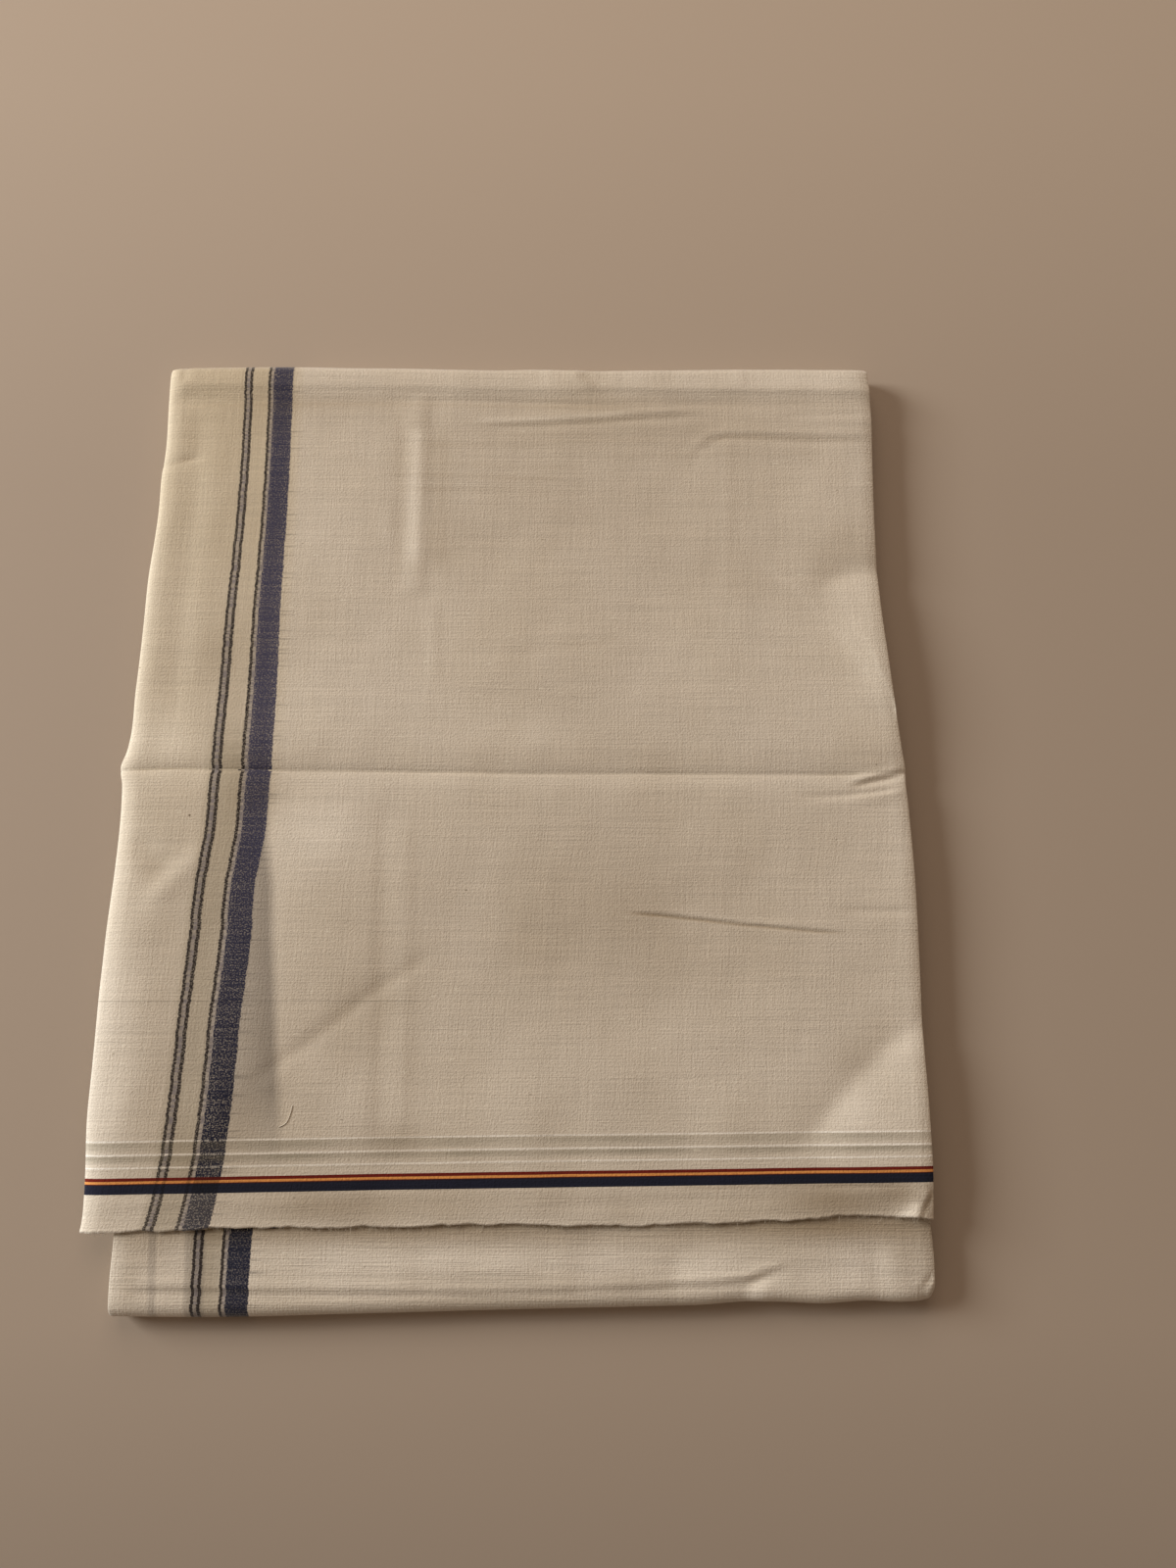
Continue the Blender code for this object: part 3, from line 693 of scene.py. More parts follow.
def handloom_cotton(name, creams, end_band=False, ghost=0.0, below_stops=(), weft_share=WEFT_SHARE):
    """Bleached cream cotton in plain weave, from soft single yarns of uneven thickness. To the
    eye it is matt and faintly fuzzy, with fine streaks both ways where a yarn runs thick or thin.
    The border is dyed in the yarn, so cream weft dots its dark stripes."""
    cotton, tree, shader = new_material(name)
    cloth_mm = cloth_measure(tree, "cloth")
    across, along = add(tree, "SeparateXYZ", cloth_mm).node.outputs[:2]

    def product(first, *others):
        """The product of shares."""
        for other in others:
            first = add(tree, "Math MULTIPLY", first, other)
        return first

    def uneven(stretch, detail=0.0, roughness=0.5):
        """How the yarns vary by chance, drawn out along the cloth by the stretch."""
        laid = add(tree, "VectorMath MULTIPLY", cloth_mm, (*stretch, 1))
        inputs = {"Vector": laid, "Scale": 1.0, "Detail": detail, "Roughness": roughness}
        return add(tree, "TexNoise", inputs)

    def tinted(colour, share, over, how="MIX"):
        """A colour with another laid over it, or multiplied into it."""
        inputs = {0: share, 6: colour, 7: over}
        return add(tree, "Mix", inputs, data_type="RGBA", blend_type=how, out=2)

    warp = uneven(WARP_STRETCH, 2.0, 0.65)
    weft = uneven(WEFT_STRETCH, 2.0, 0.65)
    fuzz = uneven(FUZZ_STRETCH, 2.0, 0.7)
    crossing = add(tree, "Math MULTIPLY_ADD", warp, WARP_SHARE, fuzz)
    crossing = add(tree, "Math MULTIPLY_ADD", weft, weft_share, crossing)
    middle = 0.5 + (WARP_SHARE + weft_share) / 2
    weave = add(tree, "MapRange", crossing, middle - WEAVE_SPREAD, middle + WEAVE_SPREAD)
    cream = tinted(creams[0], uneven((0.02, 0.016), 3.0, 0.55), creams[1])
    shade = add(tree, "MapRange", weave, 0, 1, 0.84, 1.045)

    # Thick and thin yarns, then slubs, single brighter yarns and a few bits of seed husk.
    for stretch, low, high in YARN_BARS:
        shade = product(shade, add(tree, "MapRange", uneven(stretch, 1.0), 0.3, 0.7, low, high))
    slub = add(tree, "MapRange", uneven((0.016, 0.62), 1.0), 0.64, 0.74, 1, 0.965)
    colour = tinted(cream, 1.0, product(shade, slub), "MULTIPLY")
    bright_yarn = add(tree, "MapRange", uneven((0.22, 1.0)), 0.76, 0.84)
    colour = tinted(colour, bright_yarn, "f0ead9")
    seed_husk = add(tree, "MapRange", uneven((0.35, 0.9)), 0.865, 0.90, 0, 0.5)
    colour = tinted(colour, seed_husk, "7a6a52")

    # The cloth between the stripes is a little less bleached, and so is its far part beside them.
    past_thin_lines = add(tree, "MapRange", across, -3, 1)
    before_stripe = add(tree, "MapRange", across, 12, 16, 1, 0)
    less_far_on = add(tree, "MapRange", along, 166, 188, 0.86, 0.12)
    stained = product(past_thin_lines, before_stripe, less_far_on)
    colour = tinted(colour, stained, "dcdad4", "MULTIPLY")
    beside_border = add(tree, "MapRange", across, 24, 31, 1, 0)
    unbleached = product(add(tree, "MapRange", along, 60, 300), beside_border)
    colour = tinted(colour, unbleached, "f3efe4", "MULTIPLY")

    if ghost:
        below_run = add(tree, "SeparateXYZ", cloth_measure(tree, "ply_below"))
        below_place = add(tree, "MapRange", below_run, BORDER_FROM, BORDER_TO)
        faint = product(add(tree, "ValToRGB", below_place, stops=below_stops), ghost)
        if end_band:
            in_stripe = add(tree, "MapRange", across, 16, 17)
            faint = product(faint, in_stripe, add(tree, "MapRange", along, 0, 32))
        colour = tinted(colour, faint, "77716c")

    # Each weft yarn pulls the stripes' edges its own way, and here and there drags some dye along.
    pick = add(tree, "Math SNAP", along, PICK_SPACING)
    pull = add(tree, "TexWhiteNoise", {"W": pick}, noise_dimensions="1D")
    sway = add(tree, "MapRange", uneven((0.001, 0.12), 1.0), 0.25, 0.75, -0.18, 0.18)
    ragged = add(tree, "Math ADD", across, add(tree, "MapRange", pull, 0, 1, -0.22, 0.22))
    ragged = add(tree, "Math ADD", ragged, sway)
    border_place = add(tree, "MapRange", ragged, BORDER_FROM, BORDER_TO)
    dyed = add(tree, "ValToRGB", border_place, stops=line_stops(DYED_LINES))
    pale = add(tree, "ValToRGB", border_place, stops=line_stops(PALE_LINES))
    dots = add(tree, "Math MULTIPLY_ADD", weft, 0.4, uneven((1.45, 1.8), 1.0, 0.7))
    least = add(tree, "MapRange", along, -110, -70, 0.78, 0.50)
    rubbed_end = add(tree, "Math COMPARE", along, -15.0, 9.0)
    kept_dye = add(tree, "MapRange", rubbed_end, 0, 1, 1, 0.93)
    cover = product(add(tree, "MapRange", dots, 0.52, 0.70, least, 0.99), dyed, kept_dye)
    indigo = tinted("151c37", add(tree, "MapRange", along, 20, 190), "474760")
    indigo = tinted(indigo, add(tree, "MapRange", along, 230, 340), "393a54")
    dye = tinted("2a2425", add(tree, "MapRange", across, 14.4, 14.6), indigo)
    dragged = add(tree, "MapRange", pull, 0.90, 0.93, 0, 0.42)
    past_stripe = add(tree, "MapRange", across, 24.6, 24.8)
    dragged = product(dragged, add(tree, "MapRange", across, 24.8, 33, 1, 0), past_stripe)
    colour = tinted(colour, dragged, "55504f")
    colour = tinted(colour, cover, dye)
    ticks = product(add(tree, "MapRange", pull, 0.30, 0.60, 0.90, 0.45), pale)
    colour = tinted(colour, ticks, "8a8588")

    relief = weave
    if end_band:
        # Coarser white wefts above the end band, each with a strip of painted shadow under it.
        fuzzy = add(tree, "Math MULTIPLY_ADD", fuzz, 0.5, -0.25)
        placed = add(tree, "Math ADD", along, fuzzy)
        patchy = add(tree, "MapRange", uneven((0.03, 0.02), 1.0), 0.35, 0.65, 0.55, 1.15)
        lines = 0.0
        for yarn in WHITE_WEFTS:
            under = add(tree, "Math SUBTRACT", yarn.along - yarn.width / 2, along)
            start = add(tree, "MapRange", under, -0.1, 0.3)
            painted_shadow_from = yarn.dull_width * 0.35
            end = add(tree, "MapRange", under, painted_shadow_from, yarn.dull_width, yarn.dull, 0)
            colour = tinted(colour, product(start, end, patchy), "77735c")
            line = add(tree, "Math COMPARE", placed, yarn.along, yarn.width / 2)
            lines = add(tree, "Math MAXIMUM", lines, line)
        over_dye = add(tree, "MapRange", cover, 0, 1, 0.9, 0)
        dotted = add(tree, "MapRange", uneven((1.7, 0.1)), 0.44, 0.56)
        dotted = product(dotted, product(cover, 0.42))
        line_part = product(lines, add(tree, "Math MAXIMUM", over_dye, dotted))
        colour = tinted(colour, line_part, (1.0, 0.97, 0.88, 1.0))
        relief = add(tree, "Math MULTIPLY_ADD", lines, 0.35, relief)

        # One brown weft was woven in by mistake, part of the way across, and a husk is caught.
        fault = add(tree, "Math COMPARE", along, FAULT_ALONG, FAULT_HALF_WIDTH)
        fault_from = FAULT_ACROSS - FAULT_FADE
        fault_reach = add(tree, "MapRange", across, fault_from, FAULT_ACROSS, 0.3, 0)
        colour = tinted(colour, product(fault, fault_reach), "2c2626")
        fleck = (FLECK_ACROSS, FLECK_ALONG, 0)
        from_fleck = add(tree, "VectorMath DISTANCE", cloth_mm, fleck, out="Value")
        in_fleck = add(tree, "MapRange", from_fleck, FLECK_INSIDE, FLECK_OUTSIDE, 0.8, 0)
        colour = tinted(colour, in_fleck, "6b5a40")

        # The end band is close-packed weft, so warp and border hardly show in it.
        band_stops = [((edge - BAND_FROM) / -BAND_FROM, hue) for edge, hue in reversed(END_BAND)]
        band_place = add(tree, "MapRange", along, BAND_FROM, 0)
        band = add(tree, "ValToRGB", band_place, stops=band_stops)
        middle = (END_BAND[0][0] + END_BAND[-1][0]) / 2
        in_band = add(tree, "Math COMPARE", along, middle, -middle - 0.08)
        for share, least, most in ((cover, 1, 0.55), (weave, 0.8, 1.2)):
            band = tinted(band, 1.0, add(tree, "MapRange", share, 0, 1, least, most), "MULTIPLY")
        colour = tinted(colour, in_band, band)

    # Painted highlights lighten the colour and painted shade darkens it, by the tone that each point of
    # the mesh carries.
    tone = add(tree, "Attribute", attribute_name="tone", out="Fac")
    limits = {7: (-1, -1, -1), 8: (1, 1, 1), 9: (0.55, 0.49, 0.41), 10: (1.45, 1.51, 1.59)}
    painted_light = add(tree, "MapRange", {6: tone, **limits}, data_type="FLOAT_VECTOR", clamp=False, out=1)
    yarns = {"Height": relief, "Strength": 0.75, "Distance": YARN_HEIGHT * MM}
    finish = {
        "Base Color": tinted(colour, 1.0, painted_light, "MULTIPLY"),
        "Roughness": 0.92,
        "IOR": 1.46,
        "Specular IOR Level": 0.25,
        "Sheen Weight": 0.6,
        "Sheen Roughness": 0.35,
        "Normal": add(tree, "Bump", yarns),
    }
    feed(shader, finish)
    return cotton


# How much of the dye below shows, in a wedge that ends sharply at the stripe's right edge.
GHOST_WEDGE = [
    ((run - BORDER_FROM) / (BORDER_TO - BORDER_FROM), share)
    for run, share in ((-1.0, 0.0), (1.0, 0.5), (12.0, 0.65), (23.0, 0.95), (27.2, 0.0))
]
striped_cotton = handloom_cotton(
    "bleached_handloom_cotton", ("e2d8c4", "f1eadc"), end_band=True, ghost=0.60, below_stops=GHOST_WEDGE
)
top_leaf_cloth.data.materials.append(striped_cotton)
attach(top_leaf_cloth, "root")
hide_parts("top_leaf")

# Inner plies of the top leaf
# Under the outer ply lie two more plies of the same cotton, the folded pair inside the fold. They
# show as thin edges at the cut end and along the right side, where the plies don't quite meet.

Ply = namedtuple("Ply", "depth left right back seed")
INNER_PLIES = (Ply(0.78, 0.6, 0.9, 0.5, 11), Ply(1.13, 14.0, 1.9, -0.35, 12))
INNER_PLY_SPANS = (Span(12.0, 1.2), Span(366.0, 6.0))
INNER_SHARE_SPANS = (Span(6.0, 1.0), Span(330.0, 4.0), Span(336.0, 1.0))
INNER_ROLL_STEPS = 8
INNER_PLY = 0.28
PLY_EDGE_JAG = 0.22
PLY_EDGE_REACH = 6.0
PLY_ALONG_OFFSET = 40

inner_roll_rows = 1 + np.arange(1, INNER_ROLL_STEPS + 1) / INNER_ROLL_STEPS
inner_rows = np.concatenate([spaced(INNER_PLY_SPANS), inner_roll_rows])[:, None]
inner_shares = spaced(INNER_SHARE_SPANS)
inner_plies = []
for number, ply in enumerate(INNER_PLIES, start=2):
    chance = np.random.default_rng(ply.seed)
    middle_y = top_leaf_y(0.0, np.minimum(inner_rows, 1.0))
    left = read(TOP_LEAF_SIDES, middle_y, "left") + ply.left
    wander = 0.5 * np.sin(middle_y / 31.0 + ply.seed) + 0.3 * np.sin(middle_y / 11.0)
    right = read(TOP_LEAF_SIDES, middle_y, "right") - ply.right - np.abs(wander)
    ply_x = left + inner_shares * (right - left)
    places = top_leaf_place(ply_x, inner_rows, ply.depth)
    back = ply.back + PLY_EDGE_JAG * chance.normal(size=len(inner_shares))
    places[..., 1] += back * (1 - ramp(places[..., 1] - places[:1, :, 1], 0, PLY_EDGE_REACH))
    ply_y = top_leaf_y(ply_x, np.minimum(inner_rows, 1.0))
    rolled = math.pi * FAR_ROLL_RADIUS * ramp(inner_rows, 1, 2)
    ply_along = weft_run(ply_x, ply_y) + PLY_ALONG_OFFSET + rolled
    ply_across = border_run(TOP_LEAF_GHOST, ply_x, ply_y)
    sheet = lay_sheet(f"top_leaf_ply_{number}", places, ply_across, ply_along)
    thicken(sheet, INNER_PLY)
    inner_plies.append(sheet)

# The same cotton inside the fold, made darker and a little yellower as painted shade between the plies.
cotton_in_painted_shade = handloom_cotton("bleached_cotton_painted_shade", ("d9cfbb", "e8e0cf"))
for sheet in inner_plies:
    sheet.data.materials.append(cotton_in_painted_shade)
    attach(sheet, "root")

# Frayed ends
# The warp yarns at the cut end have come free of the last wefts. They are soft single cotton
# yarns, a millimetre or two long, and each bends its own way.

STRANDS = 430
STRAND_RADIUS = 0.085
STRAND_LENGTHS = (0.35, 1.5)
LONG_STRANDS = 26
LONG_STRAND_LENGTHS = (1.8, 3.2)
STRAND_ROOTS = (-166.0, 166.0)
STRAND_DEPTHS = (0.1, 1.25)
STRAND_LEAN = 0.35
STRAND_SAGS = (0.05, 0.5)
STRAND_ROOT = 0.5
STRAND_STEPS = 3
STRAND_THINNING = 0.65


def new_yarn(name, radius, bevel_resolution):
    """A curve as thick as a yarn, still without its points."""
    yarn = bpy.data.curves.new(name, "CURVE")
    yarn.dimensions = "3D"
    yarn.bevel_depth = radius * MM
    yarn.bevel_resolution = bevel_resolution
    yarn.use_fill_caps = True
    return yarn


def laid_yarn(yarn, along_offset=0.0):
    """A mesh of a yarn's curve, with the cloth's measure at the place of each of its corners."""
    piece = bpy.data.objects.new(yarn.name, yarn)
    bpy.context.collection.objects.link(piece)
    select(piece)
    bpy.ops.object.convert(target="MESH")
    mesh = piece.data
    points, corners = points_of(mesh)
    x, y = points[:, 0] / MM, points[:, 1] / MM
    along = weft_run(x, y) + along_offset
    run = np.stack([border_run(TOP_LEAF_BORDER, x, y), along], axis=-1) * MM
    while mesh.uv_layers:
        mesh.uv_layers.remove(mesh.uv_layers[0])
    mesh.uv_layers.new(name="cloth").data.foreach_set("uv", run[corners].ravel())
    return piece


chance = np.random.default_rng(21)
frayed = new_yarn("frayed_ends", STRAND_RADIUS, 0)
for index in range(STRANDS):
    x = chance.uniform(*STRAND_ROOTS)
    reach = chance.uniform(*(LONG_STRAND_LENGTHS if index < LONG_STRANDS else STRAND_LENGTHS))
    depth = chance.uniform(*STRAND_DEPTHS)
    root = top_leaf_place(np.array(x), np.array(0.0), np.array(depth))
    lean, sag = chance.normal(0, STRAND_LEAN), chance.uniform(*STRAND_SAGS)
    strand = frayed.splines.new("POLY")
    strand.points.add(STRAND_STEPS)
    for step, point in enumerate(strand.points):
        t = step / STRAND_STEPS
        point.co = (
            (root[0] + lean * reach * t * t) * MM,
            (root[1] + STRAND_ROOT - (reach + STRAND_ROOT) * t) * MM,
            (root[2] - sag * reach * t * t) * MM,
            1.0,
        )
        point.radius = 1.0 - STRAND_THINNING * t
frayed_ends = laid_yarn(frayed)
# The frayed ends take the same cotton, darkened by painted shade.
frayed_ends.data.materials.append(cotton_in_painted_shade)
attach(frayed_ends, "root")

# Loose thread
# A snipped end of white sewing-weight yarn that lies on the cloth near the end band. It is not
# fixed, and curls up a little at its far end.

LOOSE_THREAD = ((-90.8, -131.2), (-88.2, -129.7), (-86.6, -126.4), (-85.8, -122.9))
LOOSE_THREAD_RADIUS = 0.16
LOOSE_THREAD_ALONG_OFFSET = 60.0
TWISTS_PER_METRE = 2500.0

thread = new_yarn("loose_thread", LOOSE_THREAD_RADIUS, 2)
thread.resolution_u = 6
run = thread.splines.new("BEZIER")
run.bezier_points.add(len(LOOSE_THREAD) - 1)
for point, (x, y) in zip(run.bezier_points, LOOSE_THREAD):
    z = PACK_HEIGHT + float(top_leaf_relief(np.array(x), np.array(y))) + LOOSE_THREAD_RADIUS
    point.co = (x * MM, y * MM, z * MM)
    point.handle_left_type = point.handle_right_type = "AUTO"
loose_thread = laid_yarn(thread, along_offset=LOOSE_THREAD_ALONG_OFFSET)
bpy.ops.object.shade_smooth()

# White sewing cotton, spun and bleached: a twist finer than a millimetre shows as faint flecks.
white_yarn, yarn_tree, yarn_shader = new_material("white_cotton_yarn")
twist_place = add(yarn_tree, "TexCoord", out="Object")
twist = add(yarn_tree, "TexNoise", {"Vector": twist_place, "Scale": TWISTS_PER_METRE})
twist_tones = {0: twist, 6: "d8d2c4", 7: "f4f0e6"}
yarn_tone = add(yarn_tree, "Mix", twist_tones, data_type="RGBA", out=2)
feed(yarn_shader, {"Base Color": yarn_tone, "Roughness": 0.8})
loose_thread.data.materials.append(white_yarn)
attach(loose_thread, "root")


# Under leaf
# The same strip one turn further in: it lies flat on the table, turns up round the near edge and
# goes in under the top leaf. It shows between the near edge and the cut end, and from below.

UNDER_LEAF_TOP = 10.6
UNDER_LEAF_RADIUS = UNDER_LEAF_TOP / 2
UNDER_LEFT_RADIUS = 0.72
UNDER_RIGHT_RADIUS = 0.36
UNDER_LEAF_SIDES = rows_of(
    Sides, (-203, -153.8, 167.2), (-187, -154.4, 167.4), (-171, -154, 166.8), (-120, -154.5, 166.2),
    (0, -155, 163.6), (100, -155.5, 157.6), (203, -155.5, 156.6),
)
NEAR_EDGE = rows_of(
    Across, (-154, -202.7), (-120, -203.1), (-62, -201.9), (2, -200.3), (52, -199.2), (76, -198.6),
    (93, -197.4), (108, -197.5), (124, -198.1), (139, -197.1), (157, -197.4), (163, -196.8),
    (166, -195.6), (167.4, -193.4),
)
UNDER_LEAF_FOLDS = rows_of(
    Fold,
    ([(-150, -191.8), (-101, -192.5), (-14, -193.2), (40, -191.7), (69, -190.4), (87, -189.4),
        (95, -188.2), (104, -185), (113, -182.2)], 1.6, 0.48, 12, "lip"),
    ([(86, -199), (90.5, -194.8), (96, -190.5), (103, -186.5)], 1.8, -0.55, 4),
    ([(92, -198), (97, -193.8), (105, -189)], 2.6, 0.5, 4),
    ([(104, -179.2), (131, -181), (147, -183)], 3, 0.3, 14),
    ([(158, -195), (163, -191.5), (167, -185.5)], 1.5, -0.55, 4),
    ([(-60, -185), (-20, -183), (30, -184)], 4, 0.3, 30),
    ([(-145, -178), (-120, -184), (-100, -196)], 5, -0.35, 16),
    ([(20, -200), (24, -172)], 5, 0.25, 8),
    ([(64, -198), (67, -174)], 4.5, -0.35, 8),
    ([(146, -197), (143, -172)], 3.5, -0.4, 8),
    ([(153, -196), (152, -172)], 4.5, 0.3, 8),
    ([(118, -196), (114, -178)], 5.5, -0.3, 8),
    ([(-30, -198), (-34, -176)], 6, -0.25, 8),
)
# Painted light and shade on the low leaf: a painted shadow under the top leaf's cut end, painted
# highlights on its bright patches and painted shade in its creases. A height here is a share of tone.
UNDER_LEAF_PAINTED_SHADING = rows_of(
    Swell, (0, -167.5, 400, 7, -0.85), (-153.5, -187, 3.5, 18, 0.6), (-138, -178, 7, 7, -0.2),
    (-60, -172.5, 80, 4.5, -0.26), (128, -170, 32, 7, -0.3), (44, -168.5, 30, 3.5, 0.3),
    (46, -191, 9, 6, -0.16), (77, -184.5, 14, 6.5, 0.5, 10), (137, -184, 13, 8, 0.34),
    (118, -188, 30, 9, 0.2), (0, -182, 60, 5, 0.22), (-60, -181, 60, 6, 0.22), (-70, -190, 30, 5, 0.16),
    (0, -189, 60, 3, -0.14), (100, -193.5, 12, 3.5, 0.34, 20), (0, -197, 90, 4, -0.22),
    (157, -176, 8, 8, -0.2), (-146, -184, 5, 12, -0.22), (-116, -186, 3, 16, -0.22),
)
UNDER_LEAF_BORDER = rows_of(
    Border, (-203, -122.3, -99.9), (-173, -122.4, -99.7), (-120, -122.4, -99.2)
)
UNDER_LEAF_GHOST = rows_of(Border, (-203, -138.4, -117), (-173, -139.9, -118), (-120, -141, -119))
TUCKED_FROM_Y = -121.0
LOW_LEAF_SPANS = (Span(32.0, 1.1), Span(76.0, 3.6))
NEAR_ROLL_STEPS = 14
UNDERSIDE_STEPS = 44
UNDERSIDE_END_Y = FAR_ROLL_Y - 0.3
LOW_LEAF_SHOWS = (-150, -162)
LOW_LEAF_RUMPLE = 0.05
PACK_CREASE = Fold([(-168, 14.2), (168, 13.0)], 4, -1, 0)


def near_roll_y(x):
    """Where the roll round the near edge has its centre."""
    return read(NEAR_EDGE, x, "y") + UNDER_LEAF_RADIUS


middle_roll_y = near_roll_y(0.0)


def pack_relief(x, y):
    """What is pressed through the whole pack: the middle crease, and the droop of its sides."""
    return fold_heights([PACK_CREASE], x, y) + droop(x, y)


def under_leaf_relief(x, y):
    """All that raises or lowers the low leaf's surface."""
    folds = fold_heights(UNDER_LEAF_FOLDS, x, y) + rumple(x, y, 9, height=LOW_LEAF_RUMPLE)
    return ramp(y, *LOW_LEAF_SHOWS) * folds + pack_relief(x, y)


# Stations along the strip: on the table from the far edge, round the near edge, then the low leaf.
Station = namedtuple("Station", "part share")
under_stations = [Station("table", i / UNDERSIDE_STEPS) for i in range(UNDERSIDE_STEPS)]
under_stations += [Station("roll", i / NEAR_ROLL_STEPS) for i in range(NEAR_ROLL_STEPS)]
under_stations += [Station("low", share) for share in spaced(LOW_LEAF_SPANS)]
under_columns = leaf_columns(UNDER_LEFT_RADIUS, UNDER_RIGHT_RADIUS, returns=(1.5, 5.0))
under_depth = np.array([column.depth for column in under_columns])


def station_y(station, start):
    """The Y of a station, where the near roll's centre is at start."""
    if station.part == "low":
        return start + station.share * (TUCKED_FROM_Y - start)
    if station.part == "table":
        return start + (1 - station.share) * (UNDERSIDE_END_Y - start)
    return start


low_y = np.array([station_y(station, middle_roll_y) for station in under_stations])
low_left, low_right = (read(UNDER_LEAF_SIDES, low_y, side) for side in ("left", "right"))
under_x = column_xs(under_columns, low_left, low_right, UNDER_LEFT_RADIUS, UNDER_RIGHT_RADIUS)
under_places = np.empty((*under_x.shape, 3))
under_along = np.empty_like(under_x)
for index, station in enumerate(under_stations):
    x = under_x[index]
    start = near_roll_y(x)
    y = station_y(station, start)
    if station.part == "low":
        z = UNDER_LEAF_TOP - under_depth + under_leaf_relief(x, y)
        under_along[index] = y
    elif station.part == "roll":
        angle = math.pi * (1 - station.share)
        radius = UNDER_LEAF_RADIUS - under_depth
        upright = (1 + math.cos(angle)) / 2
        y = start - radius * math.sin(angle)
        z = UNDER_LEAF_RADIUS + radius * math.cos(angle) + upright * under_leaf_relief(x, start)
        under_along[index] = start - UNDER_LEAF_RADIUS * angle
    else:
        z = under_depth
        under_along[index] = start - UNDER_LEAF_RADIUS * math.pi - (y - start)
    under_places[index] = np.stack([x, y, z], axis=-1)
border_y = np.clip(under_along, UNDER_LEAF_BORDER[0].y, UNDER_LEAF_BORDER[-1].y)
under_leaf_cloth = lay_sheet(
    "under_leaf_cloth",
    under_places,
    border_run(UNDER_LEAF_BORDER, under_x, border_y) + turned_in(under_columns),
    under_along,
    swell_heights(UNDER_LEAF_PAINTED_SHADING, under_x, under_along),
    border_run(UNDER_LEAF_GHOST, under_x, border_y) + turned_in(under_columns),
)
thicken(under_leaf_cloth, PLY)

# The same cotton turned over: a stronger weft grain, and the stripes below show as grey shadows.
WIDE_BELOW = (Line(0.0, 3.4), Line(16.2, 25.2))
under_cotton = handloom_cotton(
    "bleached_handloom_cotton_turned", ("e4dbc8", "f2ebde"), ghost=0.30,
    below_stops=line_stops(WIDE_BELOW, softness=0.7), weft_share=1.25,
)
under_leaf_cloth.data.materials.append(under_cotton)
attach(under_leaf_cloth, "root")
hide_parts("under_leaf")

# Wound side folds
# From the low leaf inwards the strip is wound flat, in seven leaves between the top one and the
# one on the table. Only their edges show: a soft fold at the left, a folded pair over two
# selvedges at the right. No leaf lies exactly over the next.

Leaf = namedtuple("Leaf", "direction near_z z inset seed")
WOUND_LEAVES = rows_of(
    Leaf, (1, 10.6, 10.6, 0.7, 31), (-1, 1.8, 1.8, 1.2, 32), (1, 8.8, 9.34, 2.4, 33),
    (-1, 3.06, 3.06, 0.8, 34), (1, 7.72, 8.09, 1, 35), (-1, 4.31, 4.31, 2.2, 36),
    (1, 6.65, 6.83, 1.5, 37),
)
WOUND_LEAF = 1.22
LOW_LEAF_OVERLAP = 0.6
INNER_LEAVES_SPREAD = (0.16, 0.24)
FOLD_EDGE_PLY = 0.2
LEAST_INSET = 0.35
FOLD_EDGE_ACROSS = 60.0
LEAF_STEPS = 70
TURN_STEPS = 9
TURN_EASE = 0.85
WANDER = 0.55

# A lip of the side profile: how far through the leaf it starts and ends, and how far it is set in.
Lip = namedtuple("Lip", "top bottom inset")
LEFT_LIPS = (Lip(0.0, 1.0, 0.0),)
RIGHT_LIPS = (Lip(0.0, 0.5, 0.0), Lip(0.5, 0.75, 0.7), Lip(0.75, 1.0, 0.2))
LIP_STEPS = 6
GROOVE = 3.0
RETURN = 9.0


def lip_profile(lips):
    """Points of the side profile, from the leaf's top face out, in and out round its lips."""
    points = [(RETURN, 0.0), (RETURN / 2, 0.0)]
    for index, lip in enumerate(lips):
        radius = (lip.bottom - lip.top) * WOUND_LEAF / 2
        middle = (lip.bottom + lip.top) * WOUND_LEAF / 2
        if index:
            points.append((GROOVE, middle - radius))
        for angle in math.pi * np.arange(LIP_STEPS + 1) / LIP_STEPS:
            out = lip.inset + radius * (1 - math.sin(angle))
            points.append((out, middle - radius * math.cos(angle)))
        points.append((GROOVE if index + 1 < len(lips) else RETURN, middle + radius))
    return np.array(points)


wound_rows = []
for index, leaf in enumerate(WOUND_LEAVES):
    tucked_y = TUCKED_FROM_Y - LOW_LEAF_OVERLAP
    tucked = (tucked_y - middle_roll_y) / (FAR_ROLL_Y - middle_roll_y)
    ends = (0.0 if index else tucked, 1.0) if leaf.direction > 0 else (1.0, 0.0)
    wound_rows += [(index, share, 0.0) for share in np.linspace(*ends, LEAF_STEPS)]
    if index + 1 < len(WOUND_LEAVES):
        wound_rows += [(index, ends[1], step / TURN_STEPS) for step in range(1, TURN_STEPS)]


def leaf_face_z(leaf, share):
    """The height of a wound leaf's outer face. Near the low leaf the upper ones lie lower."""
    return leaf.near_z + smooth(ramp(share, *INNER_LEAVES_SPREAD)) * (leaf.z - leaf.near_z)


def leaf_inset(leaf, y):
    """How far a wound leaf's edge is set in. It wanders, as the leaves were laid by hand."""
    wander = math.sin(y / 37.0 + leaf.seed) + 0.5 * math.sin(y / 13.0 + 2.1 * leaf.seed)
    return leaf.inset + WANDER * wander


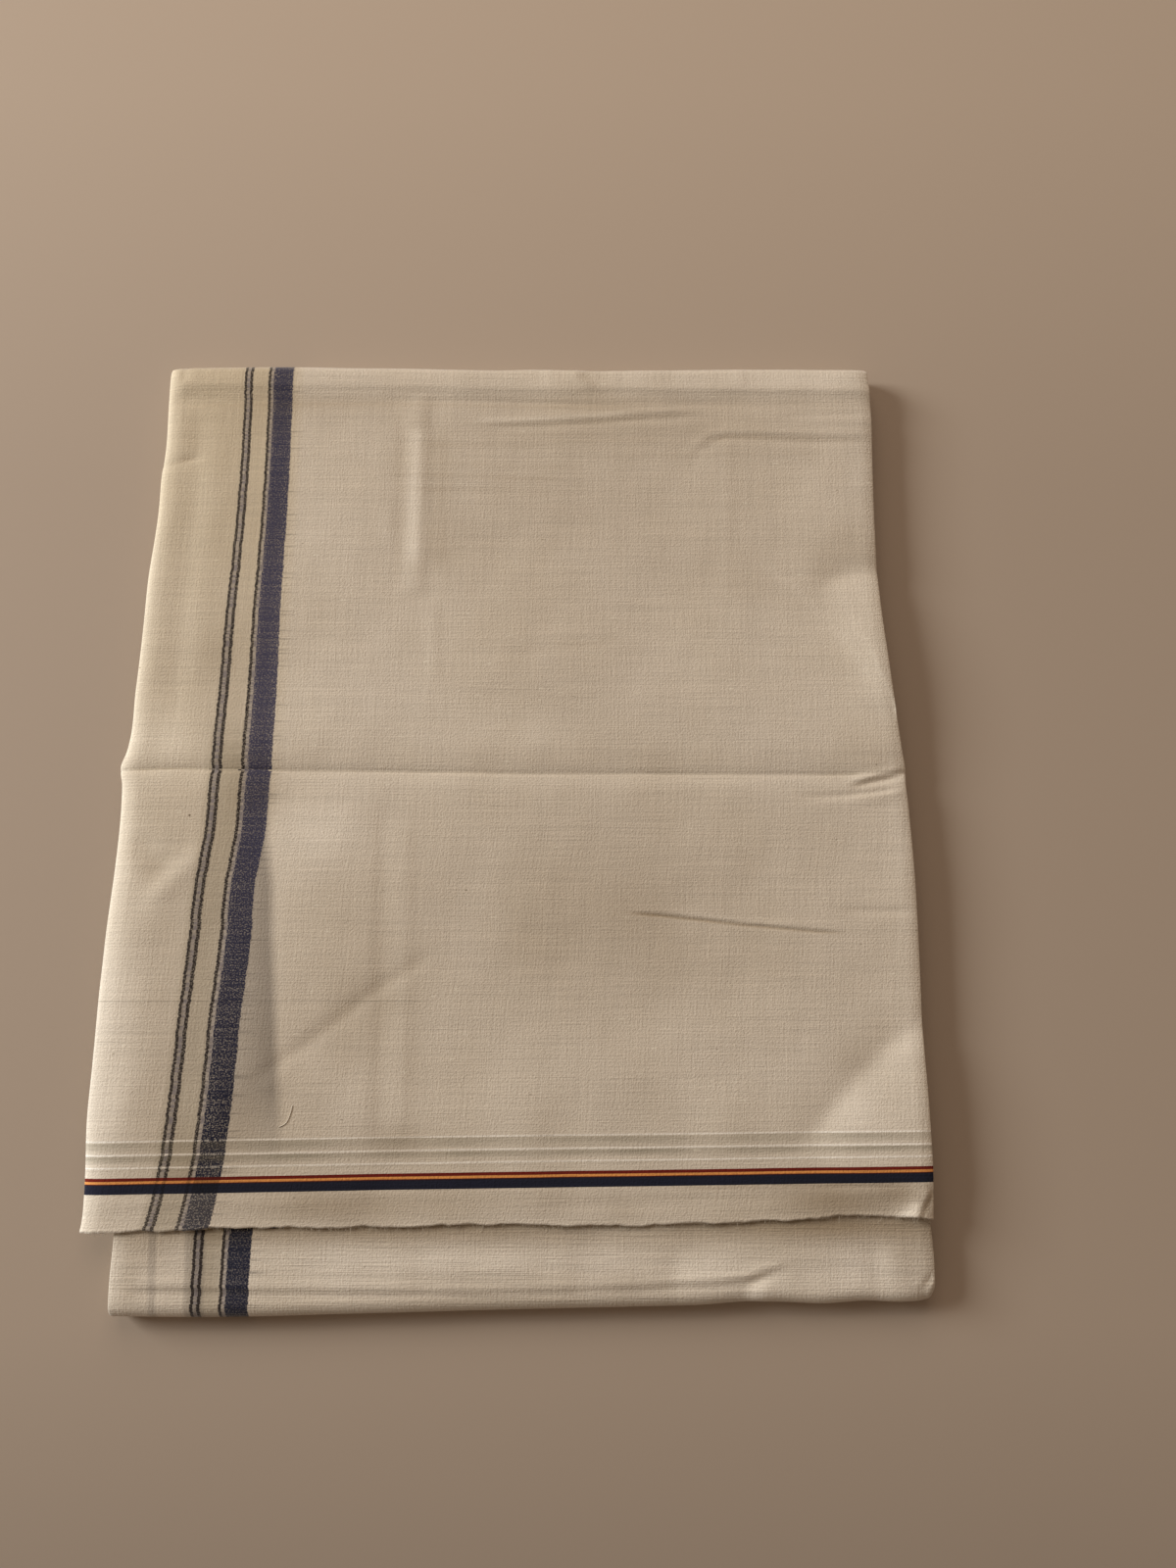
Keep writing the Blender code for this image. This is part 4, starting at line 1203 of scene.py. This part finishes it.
def wound_side(name, side, lips):
    """One side of the wound leaves: its profile swept along the strip's flat spiral."""
    profile = lip_profile(lips)
    inward = 1 if side == "left" else -1
    profile = profile[::-inward]
    depth = profile[:, 1]
    places = np.empty((len(wound_rows), len(profile), 3))
    for row, (index, share, turn) in enumerate(wound_rows):
        leaf, after = WOUND_LEAVES[index], WOUND_LEAVES[min(index + 1, len(WOUND_LEAVES) - 1)]
        middle_y = middle_roll_y + share * (FAR_ROLL_Y - middle_roll_y)
        inset = (1 - turn) * leaf_inset(leaf, middle_y) + turn * leaf_inset(after, middle_y)
        edge = read(UNDER_LEAF_SIDES, middle_y, side)
        x = edge + inward * (max(inset, LEAST_INSET) + profile[:, 0])
        y = near_roll_y(x) + share * (FAR_ROLL_Y - near_roll_y(x))
        face, next_face = leaf_face_z(leaf, share), leaf_face_z(after, share)
        z = face - leaf.direction * depth
        if turn:
            radius = abs(face - next_face) / 2
            angle = math.pi * (turn if leaf.direction > 0 else 1 - turn)
            y = y + leaf.direction * TURN_EASE * (radius - depth) * math.sin(angle)
            z = (face + next_face) / 2 + (radius - depth) * math.cos(angle)
        weight = ramp(z, WOUND_LEAVES[1].z, UNDER_LEAF_TOP)
        places[row] = np.stack([x, y, z + weight * pack_relief(x, y)], axis=-1)
    steps = np.linalg.norm(np.diff(places.mean(axis=1), axis=0), axis=1)
    along = np.concatenate([[0.0], np.cumsum(steps)])[:, None] + np.zeros(len(profile))
    run = np.concatenate([[0.0], np.cumsum(np.linalg.norm(np.diff(profile, axis=0), axis=1))])
    sheet = lay_sheet(name, places, FOLD_EDGE_ACROSS + run + np.zeros_like(along), along)
    thicken(sheet, FOLD_EDGE_PLY)
    return sheet, places


# The same cotton at the folded sides, a little greyer.
edge_cotton = handloom_cotton("bleached_cotton_fold_edges", ("ddd4c0", "ece5d5"))
for name, side, lips in (
    ("wound_folds_left", "left", LEFT_LIPS),
    ("wound_folds_right", "right", RIGHT_LIPS),
):
    sheet, places = wound_side(name, side, lips)
    sheet.data.materials.append(edge_cotton)
    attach(sheet, "root")
    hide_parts("hidden_folds")

# Floor, light and camera
# A pale floor under the cloth, with a painted falloff of light on it. A broad soft window-like light
# comes in low from the far left, and a weak one overhead fills the shade.

bpy.ops.mesh.primitive_plane_add(size=24.0, location=(0, 0, 0))
floor = bpy.context.object
floor.name = "floor"
# Matt warm grey paint, with painted shade darkening it towards the camera and a painted lift of light far
# off.
floor_paint, floor_tree, floor_shader = new_material("matt_warm_grey_floor")
floor_y = add(floor_tree, "SeparateXYZ", add(floor_tree, "TexCoord", out="Object"), out=1)
floor_run = add(floor_tree, "MapRange", floor_y, -0.30, 0.36)
FLOOR_PAINTED_FALLOFF = ((0.0, "aea192"), (0.14, "bcae9e"), (0.68, "bcae9e"), (1.0, "c5b7a6"))
floor_painted_falloff = add(floor_tree, "ValToRGB", floor_run, stops=FLOOR_PAINTED_FALLOFF)
feed(floor_shader, {"Base Color": floor_painted_falloff, "Roughness": 0.75})
floor.data.materials.append(floor_paint)

Lamp = namedtuple("Lamp", "name place size power colour")
LAMPS = (
    Lamp("window", (-2.75, 1.0, 1.30), 1.25, 80.0, (1.0, 0.97, 0.93)),
    Lamp("overhead", (-0.05, 1.4, 1.1), 1.3, 8.0, (1.0, 0.78, 0.62)),
)
for lamp in LAMPS:
    bpy.ops.object.light_add(type="AREA", location=lamp.place)
    light = bpy.context.object
    light.name = lamp.name
    light.data.shape = "SQUARE"
    light.data.size = lamp.size
    light.data.energy = lamp.power
    light.data.color = lamp.colour
    aim = -light.location
    light.rotation_euler = aim.to_track_quat("-Z", "Y").to_euler()

world = bpy.data.worlds.new("room")
world.use_nodes = True
feed(world.node_tree.nodes["Background"], {0: (1.0, 0.73, 0.54, 1.0), 1: 0.18})
bpy.context.scene.world = world
bpy.context.scene.view_settings.view_transform = "Standard"

CAMERA_PLACE = (0.032, -0.095, 0.498)
CAMERA_TILT = math.radians(12)
bpy.ops.object.camera_add(location=CAMERA_PLACE, rotation=(CAMERA_TILT, 0, 0))
camera = bpy.context.object
camera.data.lens = 27
camera.data.sensor_width = 36
bpy.context.scene.camera = camera
